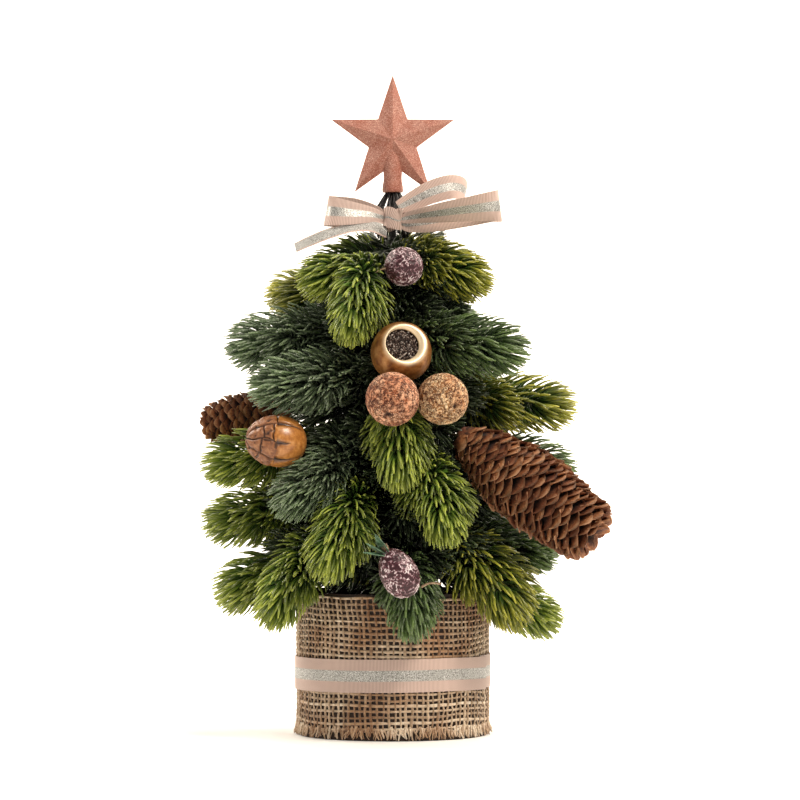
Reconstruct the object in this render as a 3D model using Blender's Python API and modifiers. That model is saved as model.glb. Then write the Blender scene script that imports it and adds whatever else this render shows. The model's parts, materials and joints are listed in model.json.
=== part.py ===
"""An artificial tabletop tree: wired needle branches on a taped rod, cast into a weighted pot.

The pot is dressed in burlap and a ribbon. A star slips over the top of the rod, a ribbon bow is
tied under it, and dried cones, pods and frosted berries are wired in among the branches.

Units are metres, +Z up. The origin is the middle of the pot's underside, and the front faces -Y.
Azimuths are degrees about the trunk, from 0 at the front to 90 at +X.
"""

import math

import bmesh
import bpy
from mathutils import Vector

MM = 0.001
GAP = 0.3 * MM  # left between pieces that touch, and round pieces that fit in each other

# Overall
TREE_HEIGHT = 450 * MM  # floor to the star's tip
SPREAD = 120 * MM  # radius that the widest needles reach
CROWN_DROP = 105 * MM  # from the star's tip down to the topmost branches

# Pot, with what dresses it
POT_RADIUS = 64.6 * MM
POT_HEIGHT = 98 * MM
POT_WALL = 2 * MM
POT_FLOOR = 2.5 * MM
BALLAST_FREEBOARD = 8 * MM  # the plaster's top, below the rim
WRAP_THICKNESS = 1.3 * MM
WRAP_HEIGHT = 96.5 * MM
WRAP_LIFT = 1 * MM  # the hem hangs this far off the floor
RIBBON_WIDTH = 23.5 * MM
RIBBON_THICKNESS = 0.6 * MM
RIBBON_LIFT = 31.5 * MM

# Trunk
ROD_RADIUS = 2.4 * MM
ROD_FOOT = 8 * MM  # height of the rod's lower end, cast into the plaster
TAPE_THICKNESS = 1.6 * MM
TAPE_CLEARANCE = 4 * MM  # tape's lower edge above the plaster

# Stems bundled under the star
STEM_COUNT = 14
STEM_RADIUS = 0.75 * MM
STEM_SPLAY = 12.5 * MM  # how far the stems stand out at their lower ends
STEM_FALL = 32 * MM  # height of the splayed stems
BUNDLE_RADIUS = 5 * MM
BUNDLE_INSERT = 12 * MM  # how far the bundle goes up into the star's socket

# Star
STAR_RADIUS = 43.3 * MM
STAR_INNER_RADIUS = 17.3 * MM
STAR_HALF_DEPTH = 9 * MM
STAR_EDGE = 1.6 * MM
STAR_WALL = 1.5 * MM
SOCKET_BELOW_CENTRE = 36.2 * MM  # the socket's mouth, below the star's middle
SOCKET_MOUTH_RADIUS = 7.4 * MM
SOCKET_TOP_RADIUS = 4.9 * MM
SOCKET_LENGTH = 40 * MM
ROD_IN_SOCKET = 24 * MM
SOCKET_CLEARANCE = 0.5 * MM

# Bow
BOW_RIBBON = 21 * MM
BOW_DROP = 19 * MM  # the knot's middle, below the star's socket
KNOT_HEIGHT = 15 * MM
KNOT_WIDTH = 11 * MM
KNOT_DEPTH = 7 * MM
LOOP_DEPTH = 12 * MM
LEFT_LOOP = 40 * MM
RIGHT_LOOP = 66 * MM
BAND_HEIGHT = 7 * MM

# Dried and frosted ornaments
LARGE_CONE_LENGTH = 115 * MM
LARGE_CONE_RADIUS = 25.5 * MM
SMALL_CONE_LENGTH = 62 * MM
SMALL_CONE_RADIUS = 17.3 * MM
GOLD_POD_RADIUS = 20.2 * MM
GOLD_POD_MOUTH = 13.8 * MM
GOLD_POD_WALL = 2.4 * MM
POD_CUP_DEPTH = 9 * MM
SEED_RECESS = 3 * MM
CORK_BALL_RADIUS = 17.8 * MM
CORK_EGG_RADIUS = 16.8 * MM
CORK_EGG_STRETCH = 1.05
NUT_RADIUS = 17.5 * MM
NUT_LENGTH = 41 * MM
BERRY_RADIUS = 13.2 * MM
BERRY_CONE_RADIUS = 12.6 * MM
BERRY_CONE_LENGTH = 35 * MM
PICK_RADIUS = 0.9 * MM

# Branches
BRANCH_WIRE_RADIUS = 1.1 * MM
WIRE_START_GAP = 0.4 * MM  # the wire's root, off the tape
ROOT_DROP = 4 * MM  # the root's place, below where the needles start
ROOT_ABOVE_RIM = 12 * MM
WIRE_BEND = 0.35  # where a wire turns to its sprig's heading, as a share of its length
RIM_BEND = 18 * MM  # how high the skirt's wires arch over the pot's rim
WIDEST = 0.55  # the widest place of a sprig, as a share of its length
NOMINAL_SPREAD = 120 * MM  # the spread and rise that the branch table is written for
NOMINAL_RISE = 247 * MM

# Worked out from the above
WRAP_INNER = POT_RADIUS + GAP
WRAP_RADIUS = WRAP_INNER + WRAP_THICKNESS
CROWN_HEIGHT = TREE_HEIGHT - CROWN_DROP
RISE = CROWN_HEIGHT - POT_HEIGHT
STAR_CENTRE_HEIGHT = TREE_HEIGHT - STAR_RADIUS
SOCKET_HEIGHT = STAR_CENTRE_HEIGHT - SOCKET_BELOW_CENTRE
ROD_TOP = SOCKET_HEIGHT + ROD_IN_SOCKET
BALLAST_TOP = POT_HEIGHT - BALLAST_FREEBOARD
TAPE_RADIUS = ROD_RADIUS + GAP + TAPE_THICKNESS
ACROSS = SPREAD / NOMINAL_SPREAD
UPWARD = RISE / NOMINAL_RISE
SPRIG_SCALE = min(ACROSS, UPWARD)  # a sprig fills the lesser of the room around it and above it
BOW_HEIGHT = SOCKET_HEIGHT - BOW_DROP
LOWEST_ROOT = POT_HEIGHT + ROOT_ABOVE_RIM
HIGHEST_ROOT = SOCKET_HEIGHT - STEM_FALL - BRANCH_WIRE_RADIUS - MM

# Each branch: azimuth, then the middle of its sprig (distance from the trunk, height above the
# pot's rim), then the way the sprig points (turn from the azimuth, rise), its length and radius.
# Angles are degrees and lengths are millimetres, at the nominal spread and rise. The skirt hangs
# beside the pot, so its distances are from the pot's side.
BRANCHES = {
    "crown_branch": [
        (-60, 50, 216, 0, -26, 46, 15),
        (60, 52, 216, 0, -22, 48, 15),
        (176, 50, 219, 0, -24, 50, 17),
    ],
    "upper_branch": [
        (-20, 76, 188, 0, -62, 44, 14),
        (50, 84, 166, 24, -10, 54, 17),
        (-84, 88, 170, 0, -12, 52, 17),
        (-118, 76, 204, 0, -6, 42, 15),
        (150, 84, 178, 0, -18, 52, 18),
    ],
    "middle_branch": [
        (-50, 90, 142, -18, -8, 56, 17),
        (86, 98, 128, 0, -8, 54, 16),
        (-144, 92, 142, 0, -18, 56, 19),
        (144, 92, 128, 0, -18, 56, 19),
    ],
    "broad_branch": [
        (-83, 106, 90, 0, -14, 50, 16),
        (-40, 93, 71, -18, -34, 50, 15),
        (3, 88, 92, 0, -70, 44, 14),
        (21, 95, 54, 0, -58, 44, 14),
        (103, 104, 85, 0, -14, 50, 16),
        (-172, 98, 92, 0, -22, 56, 19),
    ],
    "lower_branch": [
        (-87, 105, 50, 0, -20, 50, 16),
        (-24, 95, 33, -14, -60, 48, 16),
        (76, 93, 28, 0, -14, 44, 13),
        (-134, 103, 48, 0, -22, 54, 18),
        (133, 103, 44, 0, -22, 54, 18),
    ],
    "skirt_branch": [
        (-80, 34.8, 5, 0, -30, 46, 16),
        (-49, 31.8, 0, 0, -56, 48, 15),
        (8, 25.8, -10, 0, -72, 38, 13),
        (49, 32.8, 0, 0, -52, 50, 16),
        (84, 28.8, -14, 0, -30, 44, 14),
        (-170, 36.8, 4, 0, -40, 52, 19),
    ],
}


def clear_scene():
    """Removes every object that the file opens with."""
    for old in list(bpy.data.objects):
        bpy.data.objects.remove(old, do_unlink=True)


def collection(name):
    """A new collection in the scene."""
    made = bpy.data.collections.new(name)
    bpy.context.scene.collection.children.link(made)
    return made


def material(name, colour, roughness, metallic=0.0):
    """A Principled BSDF of one colour."""
    made = bpy.data.materials.new(name)
    made.use_nodes = True
    shader = made.node_tree.nodes["Principled BSDF"]
    shader.inputs["Base Color"].default_value = (*colour, 1.0)
    shader.inputs["Roughness"].default_value = roughness
    shader.inputs["Metallic"].default_value = metallic
    made.diffuse_color = (*colour, 1.0)
    return made


def place(name, data, finish, where, centre=(0, 0, 0), along=None):
    """A named object holding data, with its local +Z turned to the direction along."""
    made = bpy.data.objects.new(name, data)
    data.materials.append(finish)
    where.objects.link(made)
    made.location = centre
    if along is not None:
        made.rotation_mode = "QUATERNION"
        made.rotation_quaternion = Vector(along).to_track_quat("Z", "Y")
    return made


def turned(name, profile, finish, where, sides=24, centre=(0, 0, 0), along=None, closed=False):
    """A profile of (radius, height) points, running down its outer side, screwed about local Z."""
    data = bpy.data.meshes.new(name)
    edges = [(i, i + 1) for i in range(len(profile) - 1)]
    if closed:
        edges.append((len(profile) - 1, 0))
    data.from_pydata([(r, 0, z) for r, z in profile], edges, [])
    made = place(name, data, finish, where, centre, along)
    screw = made.modifiers.new("turn", "SCREW")
    screw.steps = sides
    screw.render_steps = sides
    screw.use_merge_vertices = True
    screw.merge_threshold = 0.00001
    screw.use_smooth_shade = True
    return made


def tube(name, points, radius, finish, where, origin=(0, 0, 0), radii=None, resolution=2):
    """A round tube along points, with filled caps; radii multiply its radius point by point."""
    data = bpy.data.curves.new(name, "CURVE")
    data.dimensions = "3D"
    data.bevel_depth = radius
    data.bevel_resolution = resolution
    data.use_fill_caps = True
    spline = data.splines.new("POLY")
    spline.points.add(len(points) - 1)
    start = Vector(origin)
    for i, point in enumerate(points):
        spline.points[i].co = (*(Vector(point) - start), 1.0)
        spline.points[i].radius = 1.0 if radii is None else radii[i]
    return place(name, data, finish, where, origin)


def strip(name, points, widths, finish, where, thickness=RIBBON_THICKNESS):
    """A ribbon standing on edge along points, with a width at each, thickened by Solidify."""
    data = bpy.data.curves.new(name, "CURVE")
    data.dimensions = "3D"
    data.twist_mode = "Z_UP"
    data.extrude = 0.5
    spline = data.splines.new("POLY")
    spline.points.add(len(points) - 1)
    for i, point in enumerate(points):
        spline.points[i].co = (*point, 1.0)
        spline.points[i].radius = widths[i]
    made = place(name, as_mesh(data), finish, where)
    solid = made.modifiers.new("cloth", "SOLIDIFY")
    solid.thickness = thickness
    solid.offset = 0
    return made


def as_mesh(curve):
    """The mesh that a curve makes, with the curve removed."""
    holder = bpy.data.objects.new("holder", curve)
    bpy.context.scene.collection.objects.link(holder)
    graph = bpy.context.evaluated_depsgraph_get()
    made = bpy.data.meshes.new_from_object(holder.evaluated_get(graph))
    bpy.data.objects.remove(holder, do_unlink=True)
    return made


def boolean(target, tool, operation):
    """Joins tool to target, or cuts it away, with the exact solver."""
    tool.hide_render = True
    tool.display_type = "WIRE"
    modifier = target.modifiers.new(operation.lower(), "BOOLEAN")
    modifier.operation = operation
    modifier.object = tool


def around(azimuth, radius, height):
    """The point at this azimuth in degrees, distance from the trunk and height."""
    angle = math.radians(azimuth)
    return Vector((radius * math.sin(angle), -radius * math.cos(angle), height))


def heading(azimuth, rise):
    """The unit vector that points along this azimuth and climbs by rise degrees."""
    return around(azimuth, math.cos(math.radians(rise)), math.sin(math.radians(rise)))


def smooth_path(start, bend, end, count):
    """Points on the quadratic curve from start to end that leans towards bend."""
    steps = [i / (count - 1) for i in range(count)]
    return [start * (1 - t) ** 2 + bend * (2 * t * (1 - t)) + end * t**2 for t in steps]


def make_pot(where, finishes):
    """The plastic cup, the plaster cast in it round the rod, and the cloth and ribbon outside."""
    inside = POT_RADIUS - POT_WALL
    cup = [
        (0, POT_FLOOR),
        (inside, POT_FLOOR),
        (inside, POT_HEIGHT),
        (POT_RADIUS, POT_HEIGHT),
        (POT_RADIUS, 0),
        (0, 0),
    ]
    turned("pot_cup", cup, finishes["cup"], where, sides=40)
    plaster_radius = POT_RADIUS - POT_WALL - GAP
    hole = ROD_RADIUS + GAP
    foot = ROD_FOOT - GAP
    plaster = [
        (0, foot),
        (hole, foot),
        (hole, BALLAST_TOP),
        (plaster_radius, BALLAST_TOP),
        (plaster_radius, POT_FLOOR + GAP),
        (0, POT_FLOOR + GAP),
    ]
    turned("plaster_ballast", plaster, finishes["plaster"], where, sides=40)
    ring("burlap_wrap", WRAP_INNER, WRAP_THICKNESS, WRAP_LIFT, WRAP_HEIGHT, finishes["burlap"], where)
    band_inner = WRAP_RADIUS + GAP
    ring(
        "pot_ribbon", band_inner, RIBBON_THICKNESS, RIBBON_LIFT, RIBBON_WIDTH, finishes["ribbon"], where
    )


def ring(name, inner, thickness, bottom, height, finish, where, sides=40, centre=(0, 0, 0)):
    """An upright band of cloth, closed round on itself."""
    outer = inner + thickness
    top = bottom + height
    profile = [(inner, top), (outer, top), (outer, bottom), (inner, bottom)]
    return turned(name, profile, finish, where, sides, centre, closed=True)


def make_trunk(where, finishes):
    """The steel rod and the floral tape wound on it between the plaster and the stem bundle."""
    outline = [(0, ROD_TOP), (ROD_RADIUS, ROD_TOP), (ROD_RADIUS, ROD_FOOT), (0, ROD_FOOT)]
    turned("trunk_rod", outline, finishes["steel"], where, sides=12)
    bottom = BALLAST_TOP + TAPE_CLEARANCE
    height = SOCKET_HEIGHT - STEM_FALL - GAP - bottom
    ring(
        "trunk_tape", ROD_RADIUS + GAP, TAPE_THICKNESS, bottom, height, finishes["tape"], where, sides=12
    )


def rod(name, start, end, radius, finish, where, sides=8):
    """A straight round rod between two points."""
    data = bpy.data.meshes.new(name)
    shape = bmesh.new()
    bmesh.ops.create_cone(
        shape,
        cap_ends=True,
        segments=sides,
        radius1=radius,
        radius2=radius,
        depth=(end - start).length,
    )
    shape.to_mesh(data)
    shape.free()
    return place(name, data, finish, where, (start + end) / 2, end - start)


def make_stem_bundle(where, cutters, finishes):
    """Thin stems gathered in a collar that enters the star, splaying out and down below it."""
    collar_drop = 4 * MM
    collar = ring(
        "top_stem_bundle",
        ROD_RADIUS + GAP,
        BUNDLE_RADIUS - ROD_RADIUS - GAP,
        SOCKET_HEIGHT - collar_drop,
        BUNDLE_INSERT + collar_drop,
        finishes["stem"],
        where,
        sides=16,
    )
    for i in range(STEM_COUNT):
        azimuth = 360 * (i + 0.5) / STEM_COUNT
        start = around(azimuth, BUNDLE_RADIUS - STEM_RADIUS, SOCKET_HEIGHT - collar_drop / 4)
        fall = STEM_FALL * (1 if i % 2 else 0.75)
        end = around(azimuth, STEM_SPLAY * (1 if i % 3 else 0.8), SOCKET_HEIGHT - fall)
        stem = rod(f"stem_{i:02d}", start, end, STEM_RADIUS, finishes["stem"], cutters, sides=6)
        boolean(collar, stem, "UNION")


def star_cone(name, radius, inner_radius, depth, edge, finish, where):
    """Half of a faceted five-pointed star: a ten-sided cone on a rim, in and out by turns."""
    data = bpy.data.meshes.new(name)
    shape = bmesh.new()
    bmesh.ops.create_cone(shape, cap_ends=True, segments=10, radius1=radius, radius2=0, depth=depth - edge)
    bmesh.ops.remove_doubles(shape, verts=shape.verts, dist=0.01 * MM)
    bmesh.ops.translate(shape, verts=shape.verts, vec=(0, 0, (depth + edge) / 2))
    for corner in shape.verts:
        if math.hypot(corner.co.x, corner.co.y) < MM:
            continue
        turn = round(math.degrees(math.atan2(corner.co.x, corner.co.y)) / 36) * 36
        size = radius if turn % 72 == 0 else inner_radius
        corner.co.x = size * math.sin(math.radians(turn))
        corner.co.y = size * math.cos(math.radians(turn))
    flat = [face for face in shape.faces if face.normal.z < -0.5]
    skirt = bmesh.ops.extrude_face_region(shape, geom=flat)["geom"]
    for corner in skirt:
        if isinstance(corner, bmesh.types.BMVert):
            corner.co.z = 0
    bmesh.ops.delete(shape, geom=flat, context="FACES_ONLY")
    bmesh.ops.recalc_face_normals(shape, faces=shape.faces)
    shape.to_mesh(data)
    shape.free()
    return place(name, data, finish, where)


def make_star(where, cutters, finishes):
    """Two hollow faceted halves of a star, and the bored socket that slips over the stems."""
    outline = [
        (0, SOCKET_HEIGHT + SOCKET_LENGTH),
        (0.6 * SOCKET_TOP_RADIUS, SOCKET_HEIGHT + SOCKET_LENGTH),
        (SOCKET_TOP_RADIUS, SOCKET_HEIGHT + 0.8 * SOCKET_LENGTH),
        (SOCKET_MOUTH_RADIUS, SOCKET_HEIGHT + 0.1 * SOCKET_LENGTH),
        (SOCKET_MOUTH_RADIUS, SOCKET_HEIGHT),
        (0, SOCKET_HEIGHT),
    ]
    socket = turned("star_socket", outline, finishes["star"], where, 20)
    bore_radius = BUNDLE_RADIUS + SOCKET_CLEARANCE
    bore_top = SOCKET_HEIGHT + BUNDLE_INSERT + 2 * SOCKET_CLEARANCE
    rod_bore_radius = ROD_RADIUS + SOCKET_CLEARANCE
    rod_bore_top = ROD_TOP + 2 * SOCKET_CLEARANCE
    below = SOCKET_HEIGHT - 5 * MM
    bore = [
        (0, rod_bore_top),
        (rod_bore_radius, rod_bore_top),
        (rod_bore_radius, bore_top),
        (bore_radius, bore_top),
        (bore_radius, below),
        (0, below),
    ]
    boolean(socket, turned("socket_bore", bore, finishes["star"], cutters, 20), "DIFFERENCE")
    seat = [(r + GAP if r else 0, z + (GAP if z > SOCKET_HEIGHT else -GAP)) for r, z in outline]
    cutter = turned("socket_seat", seat, finishes["star"], cutters, 20)
    hollow = 1 - STAR_WALL / (STAR_INNER_RADIUS * 0.5)
    for name, side in (("star_front", -1), ("star_back", 1)):
        half = star_cone(
            name, STAR_RADIUS, STAR_INNER_RADIUS, STAR_HALF_DEPTH, STAR_EDGE, finishes["star"], where
        )
        cavity = star_cone(
            f"{name}_cavity",
            STAR_RADIUS * hollow,
            STAR_INNER_RADIUS * hollow,
            STAR_HALF_DEPTH - STAR_WALL,
            STAR_EDGE / 4,
            finishes["star"],
            cutters,
        )
        for piece, out in ((half, GAP / 2), (cavity, -GAP)):
            piece.rotation_euler = (math.radians(90), 0, math.radians(90 + 90 * side))
            piece.location = (0, side * out, STAR_CENTRE_HEIGHT)
        boolean(half, cavity, "DIFFERENCE")
        boolean(half, cutter, "DIFFERENCE")


def loop_path(side, length, depth, rise, foot, count):
    """A ribbon loop seen from above: out along its front, round the end and back behind."""
    points = []
    for i in range(count):
        turn = math.pi * i / (count - 1)
        along = math.sin(turn) ** 0.6 if 0 < i < count - 1 else 0
        swing = -math.cos(turn) * (0.35 + 0.65 * math.sin(turn) ** 0.5)
        points.append(foot + Vector((side * length * along, swing * depth, rise * along)))
    return points


def make_bow(where, finishes):
    """A ribbon tied round the stems: a band, a knot in front of it, two loops and two tails."""
    ribbon = finishes["ribbon"]
    band_inner = STEM_SPLAY + 1.6 * MM
    band_bottom = BOW_HEIGHT - BAND_HEIGHT / 2
    ring("bow_band", band_inner, RIBBON_THICKNESS, band_bottom, BAND_HEIGHT, ribbon, where, sides=20)
    knot_y = -(band_inner + RIBBON_THICKNESS + GAP + KNOT_DEPTH / 2)
    knot = bpy.data.meshes.new("bow_knot")
    shape = bmesh.new()
    bmesh.ops.create_cube(shape, size=1)
    bmesh.ops.scale(shape, verts=shape.verts, vec=(KNOT_WIDTH, KNOT_DEPTH, KNOT_HEIGHT))
    shape.to_mesh(knot)
    shape.free()
    made = place("bow_knot", knot, ribbon, where, (0, knot_y, BOW_HEIGHT))
    bevel = made.modifiers.new("soft", "BEVEL")
    bevel.width = 1.8 * MM
    bevel.segments = 2
    edge = KNOT_WIDTH / 2 + GAP + RIBBON_THICKNESS
    depth = LOOP_DEPTH / 2
    gathered = 0.55 * BOW_RIBBON
    count = 11
    full = [min(1, 4 * i / (count - 1), 4 - 4 * i / (count - 1)) for i in range(count)]
    widths = [gathered + (BOW_RIBBON - gathered) * share for share in full]
    sides = (("bow_loop_left", -1, LEFT_LOOP, 4 * MM), ("bow_loop_right", 1, RIGHT_LOOP, 6 * MM))
    for name, side, length, rise in sides:
        foot = Vector((side * edge, knot_y, BOW_HEIGHT + 1.5 * MM))
        strip(name, loop_path(side, length, depth, rise, foot, count), widths, ribbon, where)
    under = BOW_HEIGHT - KNOT_HEIGHT / 2 - GAP - RIBBON_THICKNESS
    tail = [
        Vector((-3 * MM, knot_y, under - 5 * MM)),
        Vector((-14 * MM, knot_y - 9 * MM, under - 3 * MM)),
        Vector((-30 * MM, knot_y - 12 * MM, under)),
        Vector((-48 * MM, knot_y - 13 * MM, under - 3 * MM)),
        Vector((-66 * MM, knot_y - 11 * MM, under - 10 * MM)),
    ]
    strip("bow_tail_left", tail, [8 * MM, 8 * MM, 7 * MM, 7 * MM, 6 * MM], ribbon, where)
    above = BOW_HEIGHT + KNOT_HEIGHT / 2 + GAP + RIBBON_THICKNESS
    curl = [
        Vector((5 * MM, knot_y + 4 * MM, above + 4 * MM)),
        Vector((16 * MM, knot_y + 8 * MM, above + 6 * MM)),
        Vector((30 * MM, knot_y + 10 * MM, above + 9 * MM)),
        Vector((42 * MM, knot_y + 16 * MM, above + 11 * MM)),
        Vector((50 * MM, knot_y + 25 * MM, above + 8 * MM)),
    ]
    strip("bow_tail_right", curl, [7 * MM, 9 * MM, 11 * MM, 13 * MM, 13 * MM], ribbon, where)


def scaly_profile(length, radius, rows):
    """A cone's outline in rows of scales: blunt at the stalk, widest past halfway, open at its end.

    The radius follows the sine of a share of half a turn, from 0.14 at the stalk to 0.76 at the end.
    """
    profile = [(0, length)]
    for i in range(rows):
        share = 1 - (i + 0.5) / rows
        swell = radius * math.sin(math.pi * (0.14 + 0.62 * share)) ** 0.8
        level = length * share
        profile.append((swell, level + 0.35 * length / rows))
        profile.append((swell * 0.86, level - 0.4 * length / rows))
    profile.append((0, 0))
    return profile


def egg_profile(radius, length, points=9):
    """A smooth egg's outline about its middle, from the top down."""
    turns = [math.pi * i / (points - 1) for i in range(points)]
    return [(radius * abs(math.sin(t)) if 0 < i < points - 1 else 0, length / 2 * math.cos(t))
            for i, t in enumerate(turns)]


def pick_wire(name, ornament_foot, finishes, where, azimuth=None, height=None):
    """A straight florist's wire from beside the trunk to the foot of an ornament."""
    if azimuth is None:
        azimuth = math.degrees(math.atan2(ornament_foot.x, -ornament_foot.y))
    root = around(azimuth, TAPE_RADIUS + GAP + PICK_RADIUS, ornament_foot.z if height is None else height)
    way = (ornament_foot - root).normalized()
    return rod(name, root, ornament_foot - way * (GAP + PICK_RADIUS), PICK_RADIUS, finishes["wire"], where)


def place_at(azimuth, distance, height):
    """A point among the branches, from millimetres at the nominal spread and rise."""
    return around(azimuth, distance * MM * ACROSS, POT_HEIGHT + height * MM * UPWARD)


def make_cones(where, finishes):
    """The long cone at the lower right and the small one at the left, each on its wire."""
    cones = (
        ("large_cone", (43, 68, 105.5), (69, -35), LARGE_CONE_LENGTH, LARGE_CONE_RADIUS, 14, 118),
        ("small_cone", (-101, 72, 123), (-97, -9), SMALL_CONE_LENGTH, SMALL_CONE_RADIUS, 9, 128),
    )
    for name, foot, way, length, radius, rows, wire_height in cones:
        start = place_at(*foot)
        along = heading(*way)
        turned(name, scaly_profile(length, radius, rows), finishes["cone"], where, 16, start, along)
        height = POT_HEIGHT + wire_height * MM * UPWARD
        pick_wire(f"{name}_wire", start, finishes, where, foot[0], height)


def make_pod_cluster(where, cutters, finishes):
    """The gilded pod with its seeds, over two cork-skinned balls, on one three-pronged wire."""
    facing = heading(16, 24)
    seat = place_at(4.4, 80, 163)
    mouth = math.sqrt(GOLD_POD_RADIUS**2 - GOLD_POD_MOUTH**2)
    inner = GOLD_POD_MOUTH - GOLD_POD_WALL
    bed = mouth - POD_CUP_DEPTH
    shell = [(0, bed), (inner, bed), (inner, mouth), (GOLD_POD_MOUTH, mouth)]
    start = math.acos(mouth / GOLD_POD_RADIUS)
    for i in range(1, 9):
        turn = start + (math.pi - start) * i / 8
        shell.append((GOLD_POD_RADIUS * math.sin(turn) if i < 8 else 0, GOLD_POD_RADIUS * math.cos(turn)))
    turned("gold_pod", shell, finishes["gold"], where, 20, seat, facing)
    top = mouth - SEED_RECESS
    seeds = [(0, top + MM), (inner - GAP, top), (inner - GAP, bed + GAP), (0, bed + GAP)]
    turned("gold_pod_seeds", seeds, finishes["seed"], where, 16, seat, facing)
    ball = place_at(0, 105, 131)
    spacing = CORK_BALL_RADIUS + CORK_EGG_RADIUS * CORK_EGG_STRETCH + GAP
    behind = math.radians(22)
    egg = ball + Vector((math.cos(behind), math.sin(behind), 0)) * spacing
    hub = place_at(4, 46, 150)
    cluster = pick_wire("pod_cluster_wire", hub, finishes, where)
    sockets = [(seat, GOLD_POD_RADIUS)]
    for name, middle, radius, stretch in (
        ("cork_ball_left", ball, CORK_BALL_RADIUS, 1),
        ("cork_ball_right", egg, CORK_EGG_RADIUS, CORK_EGG_STRETCH),
    ):
        outline = egg_profile(radius, 2 * radius * stretch)
        turned(name, outline, finishes["cork"], where, 16, middle, heading(-35, 50))
        sockets.append((middle, radius * stretch))
    joint = hub + (around(4, TAPE_RADIUS, hub.z) - hub).normalized() * 2 * PICK_RADIUS
    for i, (middle, radius) in enumerate(sockets):
        way = (middle - joint).normalized()
        end = middle - way * (radius + GAP)
        prong = rod(f"prong_{i}", joint, end, PICK_RADIUS * 0.9, finishes["wire"], cutters, sides=7)
        boolean(cluster, prong, "UNION")


def make_nut_and_berries(where, finishes):
    """The dried nut at the left, the round frosted berry at the top and the long one below."""
    fruits = (
        ("nut_pod", (-49, 103, 103), (-80, 5), NUT_RADIUS, NUT_LENGTH, "nut"),
        ("frosted_berry", (7, 60, 220), (-20, 40), BERRY_RADIUS, 2 * BERRY_RADIUS, "berry"),
        ("frosted_cone_berry", (2, 119, 17), (-80, 62), BERRY_CONE_RADIUS, BERRY_CONE_LENGTH, "berry"),
    )
    for name, spot, way, radius, length, kind in fruits:
        middle = place_at(*spot)
        turned(name, egg_profile(radius, length), finishes[kind], where, 16, middle, heading(*way))
        inward = around(spot[0], -1, 0)
        foot = middle + inward * (max(radius, length / 2) - 0.5 * MM)
        pick_wire(f"{name}_wire", foot, finishes, where, spot[0], foot.z + 6 * MM)


def branch(name, where, finish, azimuth, reach, height, turn, rise, length, radius):
    """One branch: a wire from the trunk that swells into the closed outline of its needles."""
    beside_pot = name.startswith("skirt")
    out = reach * MM * ACROSS + (WRAP_RADIUS if beside_pot else 0)
    middle = around(azimuth, out, POT_HEIGHT + height * MM * UPWARD)
    way = heading(azimuth + turn, rise)
    long = length * MM * SPRIG_SCALE
    start = middle - way * long / 2
    level = min(max(start.z - ROOT_DROP, LOWEST_ROOT), HIGHEST_ROOT)
    root = around(azimuth, TAPE_RADIUS + WIRE_START_GAP, level)
    bend = start - way * (start - root).length * WIRE_BEND
    if beside_pot:
        bend = around(azimuth, WRAP_RADIUS, POT_HEIGHT + RIM_BEND)
    points = smooth_path(root, bend, start, 5)
    radii = [BRANCH_WIRE_RADIUS] * len(points)
    for share in (0.1, 0.25, 0.45, 0.65, 0.84, 1.0):
        # Half an ellipse before the widest place and half after it, each cut short at its end.
        span = 0.6 if share < WIDEST else 0.47
        points.append(start + way * long * share)
        radii.append(radius * MM * SPRIG_SCALE * math.sqrt(1 - ((share - WIDEST) / span) ** 2))
    tube(name, points, 1.0, finish, where, origin=root, radii=radii, resolution=3)


def make_branches(where, finishes):
    """Every branch of the table, numbered within its tier."""
    for tier, rows in BRANCHES.items():
        for number, row in enumerate(rows, 1):
            branch(f"{tier}_{number}", where, finishes["needles"], *row)


def main():
    clear_scene()
    where = collection("tabletop_tree")
    cutters = collection("cutters")
    finishes = {
        "cup": material("black_plastic", (0.02, 0.02, 0.02), 0.5),
        "plaster": material("plaster", (0.6, 0.58, 0.54), 0.9),
        "burlap": material("burlap", (0.36, 0.24, 0.14), 0.95),
        "ribbon": material("grosgrain_ribbon", (0.62, 0.44, 0.36), 0.6),
        "steel": material("galvanised_steel", (0.3, 0.3, 0.3), 0.4, 1.0),
        "tape": material("floral_tape", (0.04, 0.05, 0.03), 0.8),
        "stem": material("black_stem", (0.01, 0.01, 0.012), 0.4),
        "star": material("copper_glitter", (0.55, 0.24, 0.15), 0.5),
        "cone": material("dried_cone", (0.18, 0.08, 0.04), 0.8),
        "gold": material("gilded_pod", (0.45, 0.24, 0.09), 0.35, 0.4),
        "seed": material("pod_seeds", (0.06, 0.05, 0.05), 0.9),
        "cork": material("cork_skin", (0.5, 0.22, 0.11), 0.9),
        "nut": material("dried_nut", (0.45, 0.2, 0.07), 0.5),
        "berry": material("frosted_berry", (0.16, 0.06, 0.07), 0.7),
        "wire": material("pick_wire", (0.05, 0.06, 0.04), 0.5, 0.6),
        "needles": material("moulded_needles", (0.07, 0.16, 0.05), 0.55),
    }
    make_pot(where, finishes)
    make_trunk(where, finishes)
    make_stem_bundle(where, cutters, finishes)
    make_star(where, cutters, finishes)
    make_bow(where, finishes)
    make_cones(where, finishes)
    make_pod_cluster(where, cutters, finishes)
    make_nut_and_berries(where, finishes)
    make_branches(where, finishes)


main()
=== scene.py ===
"""Looks of an artificial tabletop tree: moulded needles on wired branches, dried cones, pods and
nuts, frosted berries, a glittered star, a grosgrain bow and a burlap-wrapped pot.

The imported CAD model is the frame. Every piece here takes its place from a CAD node and stands for it.
"""

import json
import math

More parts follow.
